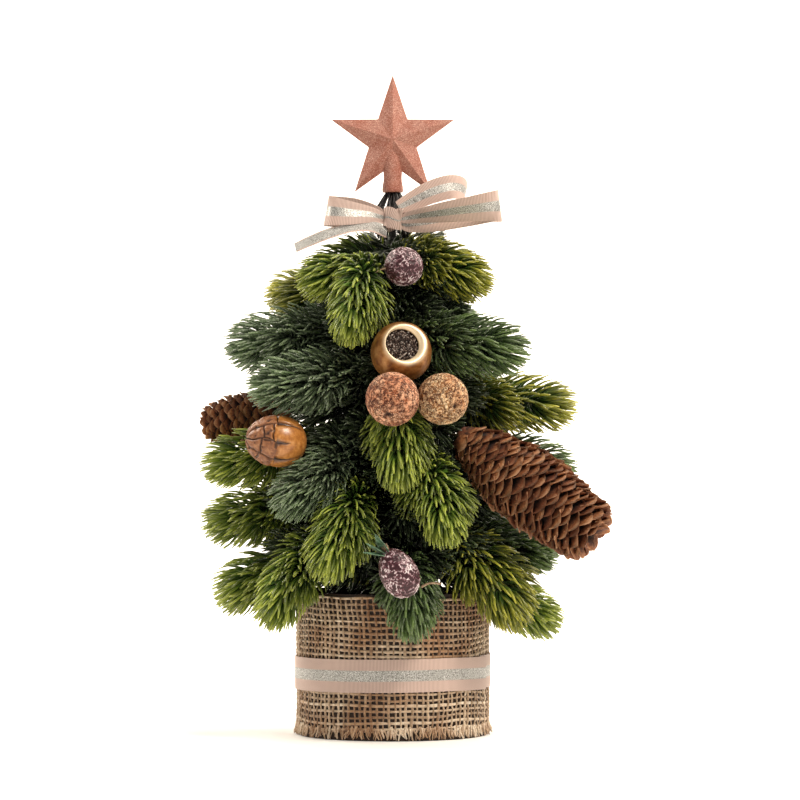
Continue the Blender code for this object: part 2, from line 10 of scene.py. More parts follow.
import bpy
import numpy as np
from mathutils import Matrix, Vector


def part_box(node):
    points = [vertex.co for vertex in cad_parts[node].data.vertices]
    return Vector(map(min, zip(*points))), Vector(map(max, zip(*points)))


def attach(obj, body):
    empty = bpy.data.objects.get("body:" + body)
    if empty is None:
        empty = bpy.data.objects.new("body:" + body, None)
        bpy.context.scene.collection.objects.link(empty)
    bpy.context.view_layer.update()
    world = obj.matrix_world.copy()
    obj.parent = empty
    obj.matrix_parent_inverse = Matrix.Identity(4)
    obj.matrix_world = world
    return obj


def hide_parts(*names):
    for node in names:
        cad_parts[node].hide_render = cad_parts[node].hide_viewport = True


MM = 0.001
GOLDEN_ANGLE = math.pi * (3 - math.sqrt(5))
UP = np.array([0.0, 0.0, 1.0])
FRONT = np.array([0.0, -1.0, 0.0])

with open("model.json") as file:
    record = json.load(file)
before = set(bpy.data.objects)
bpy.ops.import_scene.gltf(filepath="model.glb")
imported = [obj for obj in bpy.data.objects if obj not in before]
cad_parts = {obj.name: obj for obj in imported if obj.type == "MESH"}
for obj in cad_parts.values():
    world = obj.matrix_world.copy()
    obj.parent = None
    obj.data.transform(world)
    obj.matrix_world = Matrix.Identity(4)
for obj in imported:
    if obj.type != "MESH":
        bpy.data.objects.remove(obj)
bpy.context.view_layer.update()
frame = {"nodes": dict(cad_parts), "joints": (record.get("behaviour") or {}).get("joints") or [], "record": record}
nodes = frame["nodes"]
body_of_node = {n: b for b, ns in frame["record"]["behaviour"]["bodies"].items() for n in ns}


# ---------------------------------------------------------------- colours and materials


def linear(hex_colour):
    """An sRGB hex colour as linear red, green, blue and an alpha of 1."""
    channels = [int(hex_colour[i : i + 2], 16) / 255 for i in (1, 3, 5)]
    return (*(c / 12.92 if c <= 0.04045 else ((c + 0.055) / 1.055) ** 2.4 for c in channels), 1.0)


class Finish:
    """A material being made. Each method adds shader nodes and returns their result."""

    def __init__(self, name, **values):
        self.material = bpy.data.materials.new(name)
        self.material.use_nodes = True
        self.tree = self.material.node_tree
        self.shader = self.tree.nodes["Principled BSDF"]
        self.set(IOR=1.5)
        self.set(**values)
        self.place = self.add("TexCoord").outputs["Object"]

    def feed(self, socket, value):
        """Links another node's result to a socket, or sets the socket to a number or hex colour."""
        if isinstance(value, bpy.types.NodeSocket):
            self.tree.links.new(value, socket)
        else:
            socket.default_value = linear(value) if isinstance(value, str) else value

    def set(self, **values):
        """Feeds inputs of the Principled shader."""
        for name, value in values.items():
            self.feed(self.shader.inputs[name.replace("_", " ")], value)

    def add(self, kind, inputs=None, **settings):
        """A node with its settings and inputs."""
        made = self.tree.nodes.new("ShaderNode" + kind)
        for name, value in settings.items():
            setattr(made, name, value)
        for key, value in (inputs or {}).items():
            self.feed(made.inputs[key], value)
        return made

    def attribute(self, name):
        """A value that the mesh holds at each point."""
        return self.add("Attribute", attribute_name=name).outputs["Fac"]

    def noise(self, grain, detail=3.0, roughness=0.5, distortion=0.0):
        """Noise round 0.5 whose grain is so many millimetres."""
        values = {"Vector": self.place, "Scale": 1 / (grain * MM), "Detail": detail}
        values.update({"Roughness": roughness, "Distortion": distortion})
        return self.add("TexNoise", values).outputs["Fac"]

    def ramp(self, value, *stops):
        """The colour for a value, from stops of a value and a colour."""
        made = self.add("ValToRGB", {"Fac": value})
        elements = made.color_ramp.elements
        while len(elements) < len(stops):
            elements.new(0.5)
        for element, (position, colour) in zip(elements, stops):
            element.position = position
            element.color = linear(colour)
        return made.outputs["Color"]

    def span(self, value, low, high, first=0.0, last=1.0):
        """A value carried from the span low to high onto first to last, and held beyond them."""
        ends = {"From Min": low, "From Max": high, "To Min": first, "To Max": last}
        return self.add("MapRange", {"Value": value, **ends}).outputs["Result"]

    def maths(self, operation, *values):
        """One sum."""
        return self.add("Math", dict(enumerate(values)), operation=operation).outputs[0]

    def mix(self, share, first, second, blend="MIX"):
        """Two colours mixed. The node keeps them in its sockets 6 and 7 and the result in 2."""
        return self.add("Mix", {0: share, 6: first, 7: second}, data_type="RGBA", blend_type=blend).outputs[2]

    def times(self, first, second):
        """Two colours multiplied."""
        return self.mix(1.0, first, second, "MULTIPLY")

    def bump(self, height, depth, strength=0.8):
        """Raises the surface by a height from 0 to 1, which stands for so many millimetres."""
        values = {"Height": height, "Strength": strength, "Distance": depth * MM}
        self.set(Normal=self.add("Bump", values).outputs["Normal"])

    def creases(self, spacing, width, broken):
        """0 on thin wandering lines and 1 off them: where smooth noise passes its middle value,
        kept only where a second noise is over a threshold."""
        off = self.maths("SUBTRACT", self.noise(spacing, 2.0, distortion=0.7), 0.5)
        line = self.span(self.maths("ABSOLUTE", off), 0.0, width)
        gap = self.span(self.noise(spacing * 1.7, 1.0), broken, broken + 0.06, 1.0, 0.0)
        return self.maths("MAXIMUM", line, gap)


def needle_finish(name, foot, middle, tip, frost):
    """Injection-moulded polyethylene: satin, each needle darker at its foot, as painted shade among
    the crowded roots, and paler at its tip.

    The frosted kinds carry a dusting of white pigment in flecks about 1.5 mm long.
    """
    finish = Finish(name, Roughness=0.3)
    # painted shade: the darkest foot colour stands in for the shade among the roots; the paler tip is the needle's
    # own colour
    colour = finish.ramp(finish.attribute("along"), (0.05, foot), (0.45, middle), (0.95, tip))
    tint = finish.ramp(finish.attribute("tint"), (0.0, "#8F9A88"), (0.5, "#D9DCD2"), (1.0, "#FFFFF0"))
    # painted shade: the outer value (1 on main sprigs, 0.6 on side sprigs, 0.2 on wire needles and stems, 0.15 on
    # inner sprigs) multiplies the colour darker, standing in for the shade inside the foliage
    shade = finish.ramp(finish.attribute("outer"), (0.0, "#5A6654"), (1.0, "#FFFFFF"))
    fleck = finish.span(finish.noise(1.5), 0.42, 0.75, 0.0, frost)
    finish.set(Base_Color=finish.mix(fleck, finish.times(finish.times(colour, tint), shade), "#B4BFA6"))
    finish.bump(finish.noise(1.6, 2.0), 0.1, 0.2)
    return finish.material


def glitter_finish():
    """Fine glitter glued on moulded plastic: rose-copper flakes 0.4 mm across, each tipped its own
    way, so that some flash and most stay matt."""
    finish = Finish("rose_copper_glitter", Metallic=0.1)
    flakes = finish.add("TexVoronoi", {"Vector": finish.place, "Scale": 1 / (0.4 * MM)})
    pick = finish.add("SeparateColor", {"Color": flakes.outputs["Color"]}).outputs
    flake = finish.ramp(pick["Red"], (0.0, "#8E5A4A"), (0.35, "#A97261"), (0.75, "#B88270"), (1.0, "#D6AD9B"))
    patch = finish.ramp(finish.noise(9, 4.0), (0.3, "#F3DCD4"), (0.62, "#FFFFFF"))
    finish.set(Base_Color=finish.times(flake, patch), Roughness=finish.span(pick["Green"], 0, 1, 0.4, 0.75))
    finish.bump(pick["Blue"], 0.12, 0.35)
    return finish.material


def jute_finish():
    """Spun jute: dry, hairy and matt, from straw to tan, with darker fibres along each thread."""
    finish = Finish("spun_jute", Roughness=0.88, Sheen_Weight=0.25)
    fibres = finish.noise(0.7, 4.0, 0.7)
    along = {"W": finish.attribute("along"), "Scale": 9.0, "Detail": 3.0}
    lengthwise = finish.add("TexNoise", along, noise_dimensions="1D").outputs["Fac"]
    total = finish.maths("ADD", finish.maths("ADD", fibres, lengthwise), finish.attribute("tint"))
    colour = finish.ramp(
        finish.span(total, 0.7, 2.0), (0.0, "#6A523C"), (0.3, "#A1866A"), (0.62, "#CBB295"), (1.0, "#EFE1CB")
    )
    stain = finish.ramp(finish.noise(34, 2.0), (0.38, "#D2B9A4"), (0.6, "#FFFFFF"))
    finish.set(Base_Color=finish.times(colour, stain))
    finish.bump(fibres, 0.35)
    return finish.material


def grosgrain_finish():
    """Ribbed polyester grosgrain: pink-beige with a little sheen, and a middle stripe of silvery
    metallised thread a third of the width. The ribs are in the mesh; this adds the weave's grain,
    and paints the pink darker in the ribs' troughs and paler on their crests: painted shade and highlight."""
    finish = Finish("grosgrain_ribbon", Sheen_Weight=0.15)
    stripe = finish.span(finish.maths("ABSOLUTE", finish.attribute("across")), 0.31, 0.35, 1.0, 0.0)
    # painted shade and highlight: the pink is darker where rib is 0, in the troughs, and paler where it is 1, on
    # the crests
    pink = finish.ramp(finish.attribute("rib"), (0.0, "#947A6E"), (0.5, "#C4A89B"), (1.0, "#DCC5B9"))
    silver = finish.ramp(finish.noise(0.44, 2.0), (0.36, "#595750"), (0.5, "#A3A19B"), (0.66, "#ECEBE7"))
    finish.set(
        Base_Color=finish.mix(stripe, pink, silver),
        Metallic=finish.span(stripe, 0, 1, 0.0, 0.55),
        Roughness=finish.span(stripe, 0, 1, 0.62, 0.42),
    )
    finish.bump(finish.noise(0.8), 0.12, 0.3)
    return finish.material


def scale_finish():
    """Dried conifer scales: woody and matt, paler where rubbed at the edge, and nearly black at the
    core and at each scale's foot, which is painted shade in the recesses between the scales.
    """
    finish = Finish("dried_cone_scale", Roughness=0.74)
    grain = finish.noise(1.6, 5.0, 0.65)
    # painted shade: along is low at a scale's foot and on the core, where the ramp goes near-black; towards the
    # edge it rises to the rubbed, paler wood
    wear_and_shade = finish.maths("MULTIPLY_ADD", grain, 0.5, finish.maths("SUBTRACT", finish.attribute("along"), 0.25))
    colour = finish.ramp(wear_and_shade, (0.44, "#120803"), (0.6, "#62381E"), (0.78, "#AA6E42"), (1.0, "#DBAC84"))
    varied = finish.ramp(finish.attribute("tint"), (0.0, "#9A7E6E"), (1.0, "#FFFFFF"))
    finish.set(Base_Color=finish.times(colour, varied))
    finish.bump(grain, 0.7)
    return finish.material


def cork_finish(name, dark, middle, light):
    """The corky skin of a dried fruit: matt, wrinkled in worm-like veins 1.7 to 3.4 mm apart, and
    pitted. The veins, the mesh's sunken creases and the sunken eye are painted dark as painted shade."""
    finish = Finish(name, Roughness=0.8)
    # painted shade: the veins (line) and the mesh's sunken creases (wrinkle) are painted dark
    line = finish.maths("MULTIPLY", finish.creases(3.4, 0.05, 0.4), finish.creases(1.7, 0.1, 0.42))
    grain = finish.noise(0.6, 3.0, 0.6)
    tone = finish.maths("MULTIPLY_ADD", finish.attribute("wrinkle"), 0.9, grain)
    colour = finish.ramp(finish.span(tone, 0.6, 1.5), (0.0, dark), (0.4, middle), (0.9, light))
    patch = finish.ramp(finish.noise(14, 2.0), (0.35, "#E0C4B2"), (0.6, "#FFFFFF"))
    skin = finish.times(finish.mix(line, dark, colour), patch)
    # painted shade: the sunken eye (pit) is mixed to near-black
    finish.set(Base_Color=finish.mix(finish.attribute("pit"), skin, "#241009"))
    finish.bump(finish.maths("ADD", grain, line), 0.35)
    return finish.material


def gilt_finish():
    """Gold paint brushed on a dried pod: half metallic, thin and brown in patches, bright on the lip."""
    finish = Finish("gilded_pod", Metallic=0.45)
    brushed = finish.noise(7, 5.0, 0.6)
    skin = finish.ramp(brushed, (0.3, "#5F3315"), (0.5, "#96622F"), (0.7, "#BE8A50"))
    rim = finish.mix(finish.attribute("lip"), skin, "#F3DDB8")
    # painted shade: the inside wall and the floor under the seeds are mixed to near-black
    finish.set(
        Base_Color=finish.mix(finish.attribute("inside"), rim, "#2A1A10"),
        Roughness=finish.span(brushed, 0, 1, 0.5, 0.28),
    )
    finish.bump(finish.noise(1.2), 0.15, 0.3)
    return finish.material


def seed_finish():
    """Tight-packed seeds: each its own shade of near-black brown, some with pale dry skin."""
    finish = Finish("pod_seed", Roughness=0.55)
    shades = (0.0, "#241B18"), (0.45, "#5A4840"), (0.75, "#9C8A7E"), (1.0, "#E6DAD0")
    finish.set(Base_Color=finish.ramp(finish.attribute("tint"), *shades))
    finish.bump(finish.noise(0.6, 2.0), 0.2, 0.5)
    return finish.material


def nut_finish():
    """A dried nut under clear lacquer: honey orange where smooth, browner and duller on its plates,
    dark in the cracks and pits, which is painted shade in these sunken places."""
    finish = Finish("lacquered_nut", Coat_Weight=0.25, Coat_Roughness=0.25)
    plate = finish.attribute("plate")
    grain = finish.noise(3.5, 6.0, 0.62)
    smooth = finish.ramp(grain, (0.3, "#8E5222"), (0.52, "#B67738"), (0.72, "#D09656"))
    woody = finish.ramp(grain, (0.3, "#5C341A"), (0.5, "#8A552F"), (0.7, "#AC774C"))
    colour = finish.mix(plate, smooth, woody)
    # painted shade: the cracks and pits, sunk into the mesh, are mixed to near-black
    finish.set(
        Base_Color=finish.mix(finish.attribute("crack"), colour, "#33190A"),
        Roughness=finish.span(plate, 0, 1, 0.32, 0.6),
    )
    finish.bump(grain, 0.3, 0.35)
    return finish.material


def frost_finish():
    """A burgundy foam berry under sugar frost: the frost sits on the wrinkles and sparkles a little."""
    finish = Finish("frosted_berry", IOR=1.45)
    crystals = finish.noise(0.5)
    patches = finish.maths("ADD", crystals, finish.noise(9, 2.0))
    total = finish.maths("MULTIPLY_ADD", patches, 0.5, finish.attribute("ridge"))
    frost = finish.span(total, 0.98, 1.3)
    colour = finish.ramp(frost, (0.0, "#34121A"), (0.3, "#64303C"), (0.65, "#B49A9E"), (1.0, "#F2EBE9"))
    finish.set(Base_Color=colour, Roughness=finish.span(frost, 0, 1, 0.36, 0.7))
    finish.bump(crystals, 0.25)
    return finish.material


def plain_finish(name, dark, light, grain, **values):
    """A material of one stuff whose shade wanders between two near colours over a grain in mm."""
    finish = Finish(name, **values)
    noise = finish.noise(grain, 5.0)
    finish.set(Base_Color=finish.ramp(noise, (0.3, dark), (0.7, light)))
    finish.bump(noise, 0.05 * grain, 0.4)
    return finish.material


# each needle finish: foot colour (darkened as painted shade), middle, tip, and frost
FRESH = needle_finish("fresh_needles", "#1F3A10", "#557C26", "#B4BE4C", 0.12)
TIPPED = needle_finish("gold_tipped_needles", "#1A3010", "#426422", "#BDB83E", 0.12)
DEEP = needle_finish("deep_green_needles", "#14270F", "#345022", "#6A8442", 0.30)
FROSTED = needle_finish("frosted_needles", "#182B16", "#3A5430", "#7A9068", 0.55)
GLITTER = glitter_finish()
JUTE = jute_finish()
GROSGRAIN = grosgrain_finish()
SCALE = scale_finish()
RED_CORK = cork_finish("red_cork_skin", "#3E180C", "#AC6A45", "#EBB893")
TAN_CORK = cork_finish("tan_cork_skin", "#4A2410", "#BC8853", "#F2D5AA")
GILT = gilt_finish()
SEED = seed_finish()
NUT = nut_finish()
FROST = frost_finish()
STEM = plain_finish("black_stem_plastic", "#0E0B0C", "#2A2325", 3, Roughness=0.4)
TWIG = plain_finish("dried_twig", "#5A3F2C", "#B49A7C", 1.5, Roughness=0.75)
LEAF = plain_finish("dusted_leaf", "#27452E", "#6E8F72", 2.5, Roughness=0.5)
CAD_FINISHES = {
    "pot_cup": plain_finish("moulded_cup_plastic", "#1A0F08", "#35210F", 4, Roughness=0.7),
    "plaster_ballast": plain_finish("cast_plaster", "#5A5046", "#8E8478", 3, Roughness=0.92),
    "trunk_rod": plain_finish("drawn_steel", "#3B3B3B", "#5A5A5A", 2, Roughness=0.42, Metallic=1.0),
    "trunk_tape": plain_finish("waxed_floral_tape", "#14180F", "#2B3320", 2, Roughness=0.75),
    "bow_band": plain_finish("ribbon_band", "#B98E7C", "#DDBBA9", 1, Roughness=0.65),
}
PICK = plain_finish("lacquered_pick_wire", "#1E1A12", "#3F3725", 1.5, Roughness=0.45)


# ---------------------------------------------------------------- meshes


def in_scene(name, data):
    """An object that holds this data, in the scene."""
    made = bpy.data.objects.new(name, data)
    bpy.context.scene.collection.objects.link(made)
    return made


def surface(name, points, faces, finish, body, slot, node=None, **values):
    """A smooth mesh of points (n, 3) and arrays of faces, one row each, with a float value at every
    point. It rides on a body and may stand for a CAD node."""
    mesh = bpy.data.meshes.new(name)
    mesh.vertices.add(len(points))
    mesh.vertices.foreach_set("co", np.ascontiguousarray(points, np.float32).ravel())
    sizes = np.concatenate([np.full(len(rows), rows.shape[1]) for rows in faces])
    corners = np.concatenate([rows.ravel() for rows in faces])
    mesh.loops.add(len(corners))
    mesh.loops.foreach_set("vertex_index", corners.astype(np.int32))
    mesh.polygons.add(len(sizes))
    mesh.polygons.foreach_set("loop_start", (np.cumsum(sizes) - sizes).astype(np.int32))
    mesh.update(calc_edges=True)
    mesh.shade_smooth()
    for key, value in values.items():
        layer = mesh.attributes.new(key, "FLOAT", "POINT")
        layer.data.foreach_set("value", np.ascontiguousarray(value, np.float32).ravel())
    mesh.materials.append(finish)
    made = in_scene(name, mesh)
    if body:
        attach(made, body)
    if node:
        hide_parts(node)
    return made


def loft_faces(copies, rings, sides, first=0, closed=False):
    """Faces of tubes stored ring after ring: quads between rings, and a cap at each end or, for
    closed tubes, quads from the last ring to the first.

    Sides run anticlockwise seen from the end that the rings run to, so faces point outwards.
    """
    base = first + np.arange(copies)[:, None, None] * rings * sides
    ring = np.arange(rings - 1)[None, :, None] * sides
    here = np.arange(sides)[None, None, :]
    a = base + ring + here
    b = base + ring + (here + 1) % sides
    quads = np.stack([a, b, b + sides, a + sides], -1).reshape(-1, 4)
    if closed:
        last = a[:, :1] + (rings - 1) * sides
        over = b[:, :1] + (rings - 1) * sides
        return [quads, np.stack([last, over, b[:, :1], a[:, :1]], -1).reshape(-1, 4)]
    start = base[:, 0] + np.arange(sides)[::-1]
    end = base[:, 0] + (rings - 1) * sides + np.arange(sides)
    return [quads, start, end]


def skin(name, grid, finish, body, slot, node=None, place=0.0, axes=None, **values):
    """A closed surface from rings of points (rings, sides, 3), turned by axes and moved to a place."""
    points = grid.reshape(-1, 3)
    points = points if axes is None else points @ axes
    faces = loft_faces(1, *grid.shape[:2])
    return surface(name, points + place, faces, finish, body, slot, node, **values)


def unit(vectors):
    """Vectors divided by their lengths."""
    return vectors / np.maximum(np.linalg.norm(vectors, axis=-1, keepdims=True), 1e-12)


def tangents(paths):
    """Unit directions along paths (..., n, 3), from each point's neighbours."""
    return unit(np.gradient(paths, axis=-2))


def tubes(paths, radii, sides, across=None, flat=1.0, closed=False):
    """Points of tubes along paths (copies, n, 3): a circle of each radius, squeezed by flat.

    A ring's point is the path's point, plus the cosine of its turn along the width direction
    across, plus the sine along the direction square to that and to the path.
    """
    ahead = unit(np.roll(paths, -1, 1) - np.roll(paths, 1, 1)) if closed else tangents(paths)
    if across is None:
        across = np.broadcast_to(UP, paths.shape)
        level = np.abs(np.sum(ahead * across, -1, keepdims=True)) > 0.9
        across = np.where(level, FRONT, across)
    wide = unit(across - ahead * np.sum(across * ahead, -1, keepdims=True))
    thick = np.cross(ahead, wide)
    turn = 2 * np.pi * np.arange(sides) / sides
    ring = wide[..., None, :] * np.cos(turn)[:, None] + flat * thick[..., None, :] * np.sin(turn)[:, None]
    return paths[..., None, :] + ring * np.asarray(radii)[..., None, None]


def tube_piece(name, paths, radii, sides, finish, body, slot, across=None, flat=1.0, tint=0.0, node=None):
    """Tubes along paths as one piece, with how far along each point is, and a tint for each tube."""
    paths = np.asarray(paths, float)
    copies, rings = paths.shape[:2]
    radii = np.broadcast_to(radii, (copies, rings))
    points = tubes(paths, radii, sides, across, flat)
    along = np.broadcast_to(np.linspace(0, 1, rings)[None, :, None], points.shape[:3])
    tint = np.broadcast_to(np.reshape(tint, (-1, 1, 1)), points.shape[:3])
    faces = loft_faces(copies, rings, sides)
    return surface(name, points.reshape(-1, 3), faces, finish, body, slot, node, along=along, tint=tint)


HASH_PRIMES = np.array([374761393, 668265263, 2147483647])


def lattice_noise(points, size, seed=0):
    """Smooth noise from -1 to 1: random values at the corners of cells of this size, blended
    between them by the smoothstep of the place in the cell."""
    place = points / size
    cell = np.floor(place).astype(np.int64)
    share = place - cell
    weight = share * share * (3 - 2 * share)
    total = np.zeros(points.shape[:-1])
    for corner in np.ndindex(2, 2, 2):
        mixed = (cell + np.array(corner)) @ HASH_PRIMES + seed * 974634777
        mixed = (mixed ^ (mixed >> 13)) * 1274126177
        value = ((mixed ^ (mixed >> 16)) & 0xFFFF) / 32767.5 - 1
        total += value * np.prod(np.where(corner, weight, 1 - weight), -1)
    return total


def crease_map(points, size, width, seed=0):
    """1 over most of a surface, falling to 0 on wandering lines where smooth noise crosses nought."""
    return np.clip(np.abs(lattice_noise(points, size, seed)) / width, 0, 1)


def ridges(points, size, seed=0):
    """Worm-like ridges from 0 to 1: highest where smooth noise crosses nought."""
    return 1 - np.abs(lattice_noise(points, size, seed)) ** 0.5


def ball_grid(rows, columns):
    """Unit directions over a sphere with its poles on Z, from the south pole up, ring by ring."""
    lift = np.linspace(-np.pi / 2, np.pi / 2, rows)
    lift[0] += 0.02
    lift[-1] -= 0.02
    turn = 2 * np.pi * np.arange(columns) / columns
    lift, turn = np.meshgrid(lift, turn, indexing="ij")
    return np.stack([np.cos(lift) * np.cos(turn), np.cos(lift) * np.sin(turn), np.sin(lift)], -1)


def axes_for(ahead):
    """A turned frame whose third row is ahead and whose first row is level."""
    ahead = unit(np.asarray(ahead, float))
    side = np.cross(UP, ahead)
    side = unit(side) if np.linalg.norm(side) > 0.05 else np.array([1.0, 0.0, 0.0])
    return np.stack([side, np.cross(ahead, side), ahead])


def node_points(name):
    """The corners of a CAD node, (n, 3), and its triangles, (m, 3, 3)."""
    mesh = nodes[name].data
    points = np.empty(len(mesh.vertices) * 3)
    mesh.vertices.foreach_get("co", points)
    corners = np.empty(len(mesh.loops), np.int32)
    mesh.loops.foreach_get("vertex_index", corners)
    points = points.reshape(-1, 3)
    return points, points[corners].reshape(-1, 3, 3)


def node_middle(name):
    """The middle of a CAD node's box and half its sizes."""
    low, high = np.array(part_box(name))
    return (low + high) / 2, (high - low) / 2


def node_axis(name):
    """The two ends of a turned CAD node's axis, the one nearer the trunk first."""
    points, _ = node_points(name)
    middle = points.mean(0)
    _, _, ways = np.linalg.svd(points - middle, full_matrices=False)
    along = (points - middle) @ ways[0]
    ends = points[along.argmin()], points[along.argmax()]
    return sorted(ends, key=lambda end: np.hypot(end[0], end[1]))


def breadth(name, middle, axes):
    """A CAD node's greatest distance from the line through middle along the last of three axes, and
    how far its corners lie along that line."""
    local = (node_points(name)[0] - middle) @ axes.T
    return np.hypot(local[:, 0], local[:, 1]).max(), local[:, 2]


# ---------------------------------------------------------------- needles


SOLID_CENTRE = 0.53  # where a branch solid's centre of mass is, of the needles' length


class Sprig:
    """Where a CAD branch holds its needles: its wire's root, then the needles' start, way, length
    and radius, measured on the closed solid."""

    def __init__(self, name):
        points, triangles = node_points(name)
        a, b, c = triangles[:, 0], triangles[:, 1], triangles[:, 2]
        volume = np.sum(a * np.cross(b, c), -1)
        centre = ((a + b + c) * volume[:, None]).sum(0) / (4 * volume.sum())
        trunk = np.hypot(points[:, 0], points[:, 1])
        nearest = points[trunk.argmin()]
        self.root = points[np.linalg.norm(points - nearest, axis=1) < 2.6 * MM].mean(0)
        near = np.linalg.norm(triangles.mean(1) - centre, axis=1) < 30 * MM
        area = np.linalg.norm(np.cross(b - a, c - a), axis=1)[near]
        middles = triangles.mean(1)[near] - centre
        spread = (middles * area[:, None]).T @ middles
        way = np.linalg.eigh(spread)[1][:, -1]
        self.way = way * np.sign(way @ (centre - self.root))
        reach = ((triangles[near].reshape(-1, 3) - centre) @ self.way).max()
        self.length = reach / (1 - SOLID_CENTRE)
        self.start = centre - self.way * self.length * SOLID_CENTRE
        off = middles - np.outer(middles @ self.way, self.way)
        self.radius = np.linalg.norm(off, axis=1).max()

    def wire(self, count):
        """Points from the root to the needles' start, on the quadratic curve that the wire follows."""
        share = np.linspace(0, 1, count)[:, None]
        bend = self.start - self.way * np.linalg.norm(self.start - self.root) * 0.35
        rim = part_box("burlap_wrap")[1]
        if self.start[2] < rim[2] + 8 * MM:
            out = unit(np.array([self.start[0], self.start[1], 0.0]))
            bend = out * rim[0] + UP * (rim[2] + 20 * MM)
        return self.root * (1 - share) ** 2 + bend * 2 * share * (1 - share) + self.start * share**2


def ornament_balls():
    """Balls round the ornaments, as (middle, radius) pairs; a cone takes several along its axis."""
    balls = []
    for name in ("cork_ball_left", "cork_ball_right", "gold_pod", "nut_pod", "frosted_berry"):
        middle, half = node_middle(name)
        balls.append((middle, half.max() * 0.95 if name != "nut_pod" else half.min() * 0.85))
    for name, radius in (("frosted_cone_berry", 11 * MM), ("large_cone", 21 * MM), ("small_cone", 12 * MM)):
        foot, tip = node_axis(name)
        for share in (0.15, 0.35, 0.55, 0.75, 0.92):
            balls.append((foot + (tip - foot) * share, radius))
    return balls


BALLS = ornament_balls()


def clear_of_ornaments(paths):
    """Which paths (n, k, 3) stay out of the bow and the ornaments and don't cross in front of them.

    In front means further from the trunk than the ornament's middle, on the level, within its
    radius of the line that runs straight out through it. Nothing stands in front of the left tail.
    """
    keep = (paths[..., 2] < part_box("bow_knot")[0][2] + 4 * MM).all(1)
    for name in ("bow_knot", "bow_loop_left", "bow_loop_right", "bow_tail_left"):
        low, high = np.array(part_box(name)) + np.array([[-2], [2]]) * MM
        low[1] -= 50 * MM * (name in ("bow_knot", "bow_tail_left"))
        keep &= ~((paths > low) & (paths < high)).all(-1).any(1)
    for middle, radius in BALLS:
        out = unit(middle * [1, 1, 0] + 0.6 * FRONT * np.linalg.norm(middle[:2]) * (middle[1] < 0))
        off = paths - middle
        ahead = off @ out
        beside = np.linalg.norm(off - ahead[..., None] * out, axis=-1)
        blocked = (beside < radius * 0.9) & (ahead > -0.2 * radius)
        inside = np.linalg.norm(off, axis=-1) < radius * 1.02
        keep &= ~(blocked | inside).any(1)
    return keep


def needle_paths(rng, roots, ways, sides, start_angle, bend, lengths):
    """Curved needles: each leaves its root at an angle to its way and bends towards it.

    The angle falls evenly along the needle, so the distance covered along the way is the change of
    the angle's sine over the bend, and the distance out sideways is the change of its cosine.
    """
    share = NEEDLE_STATIONS[None, :]
    angle = start_angle[:, None] - bend[:, None] * share
    forward = (np.sin(start_angle)[:, None] - np.sin(angle)) / bend[:, None]
    sideways = (np.cos(angle) - np.cos(start_angle)[:, None]) / bend[:, None]
    droop = -UP * (share**2 * rng.uniform(0.0, 0.1, (len(roots), 1)))[..., None]
    sway = np.sin(np.pi * share) * rng.uniform(-0.08, 0.08, (len(roots), 1))
    sway = np.cross(ways, sides)[:, None] * sway[..., None]
    step = ways[:, None] * forward[..., None] + sides[:, None] * sideways[..., None] + sway + droop
    return roots[:, None] + step * lengths[:, None, None]


def trim_to_egg(paths, stem, length):
    """Grows or shrinks each needle from its root until its tip lies on a blunt egg round the stem.

    A place on the egg has its distance along, as a share of the half length, and its distance off
    the axis, as a share of the radius, each to EGG_POWER, add to 1. Halving the range of the
    share 12 times finds it, from 0.7 to 1.3 of the needle.
    """
    way = unit(stem[-1] - stem[-2])
    half = (np.linalg.norm(np.diff(stem, axis=0), axis=1).sum() + 1.15 * length) / 2
    middle = stem[-1] + way * (0.98 * length - half)
    root = paths[:, 0] - middle
    span = paths[:, -1] - paths[:, 0]
    low, high = np.full(len(paths), 0.7), np.full(len(paths), 1.3)
    for _ in range(12):
        share = (low + high) / 2
        tip = root + span * share[:, None]
        along = tip @ way
        off = np.linalg.norm(tip - along[:, None] * way, axis=1)
        inside = (np.abs(along) / half) ** EGG_POWER + (off / (EGG_RADIUS * length)) ** EGG_POWER < 1
        low, high = np.where(inside, share, low), np.where(inside, high, share)
    return paths[:, :1] + (paths - paths[:, :1]) * low[:, None, None]


EGG_POWER = 2.6
EGG_RADIUS = 0.78  # of a needle's length
MAIN_NEEDLES, WIRE_NEEDLES, FORK_NEEDLES = 215, 55, 110
INNER_SPRIGS, INNER_NEEDLES = 104, 92
NEEDLE_STATIONS = np.array([0.0, 0.25, 0.52, 0.8, 1.0])
NEEDLE_SHAPE = np.array([0.6, 0.9, 1.0, 0.9, 0.4])
NEEDLE_WIDTH = 2.2 * MM
NEEDLE_FLATNESS = 0.7
STEM_RADIUS = 1.1 * MM


def clear_when_bent(name, paths):
    """Which of a branch's paths stay out of the pot and the ornaments at both limits of its hinge."""
    keep = np.ones(len(paths), bool)
    rim = np.array(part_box("burlap_wrap")[1])
    for joint in frame["joints"]:
        if joint["child"] != name:
            continue
        pivot, axis = np.array(joint["pos_m"]), unit(np.array(joint["axis"]))
        for angle in np.radians(joint["range_deg"]):
            off = paths - pivot
            turned = off * math.cos(angle) + np.cross(axis, off) * math.sin(angle)
            turned += pivot + (off @ axis)[..., None] * axis * (1 - math.cos(angle))
            out = np.hypot(turned[..., 0], turned[..., 1])
            keep &= ~((out < rim[0] + 1 * MM) & (turned[..., 2] < rim[2] + 1 * MM)).any(1)
            for middle, radius in BALLS:
                keep &= ~(np.linalg.norm(turned - middle, axis=-1) < radius * 1.08).any(1)
    return keep


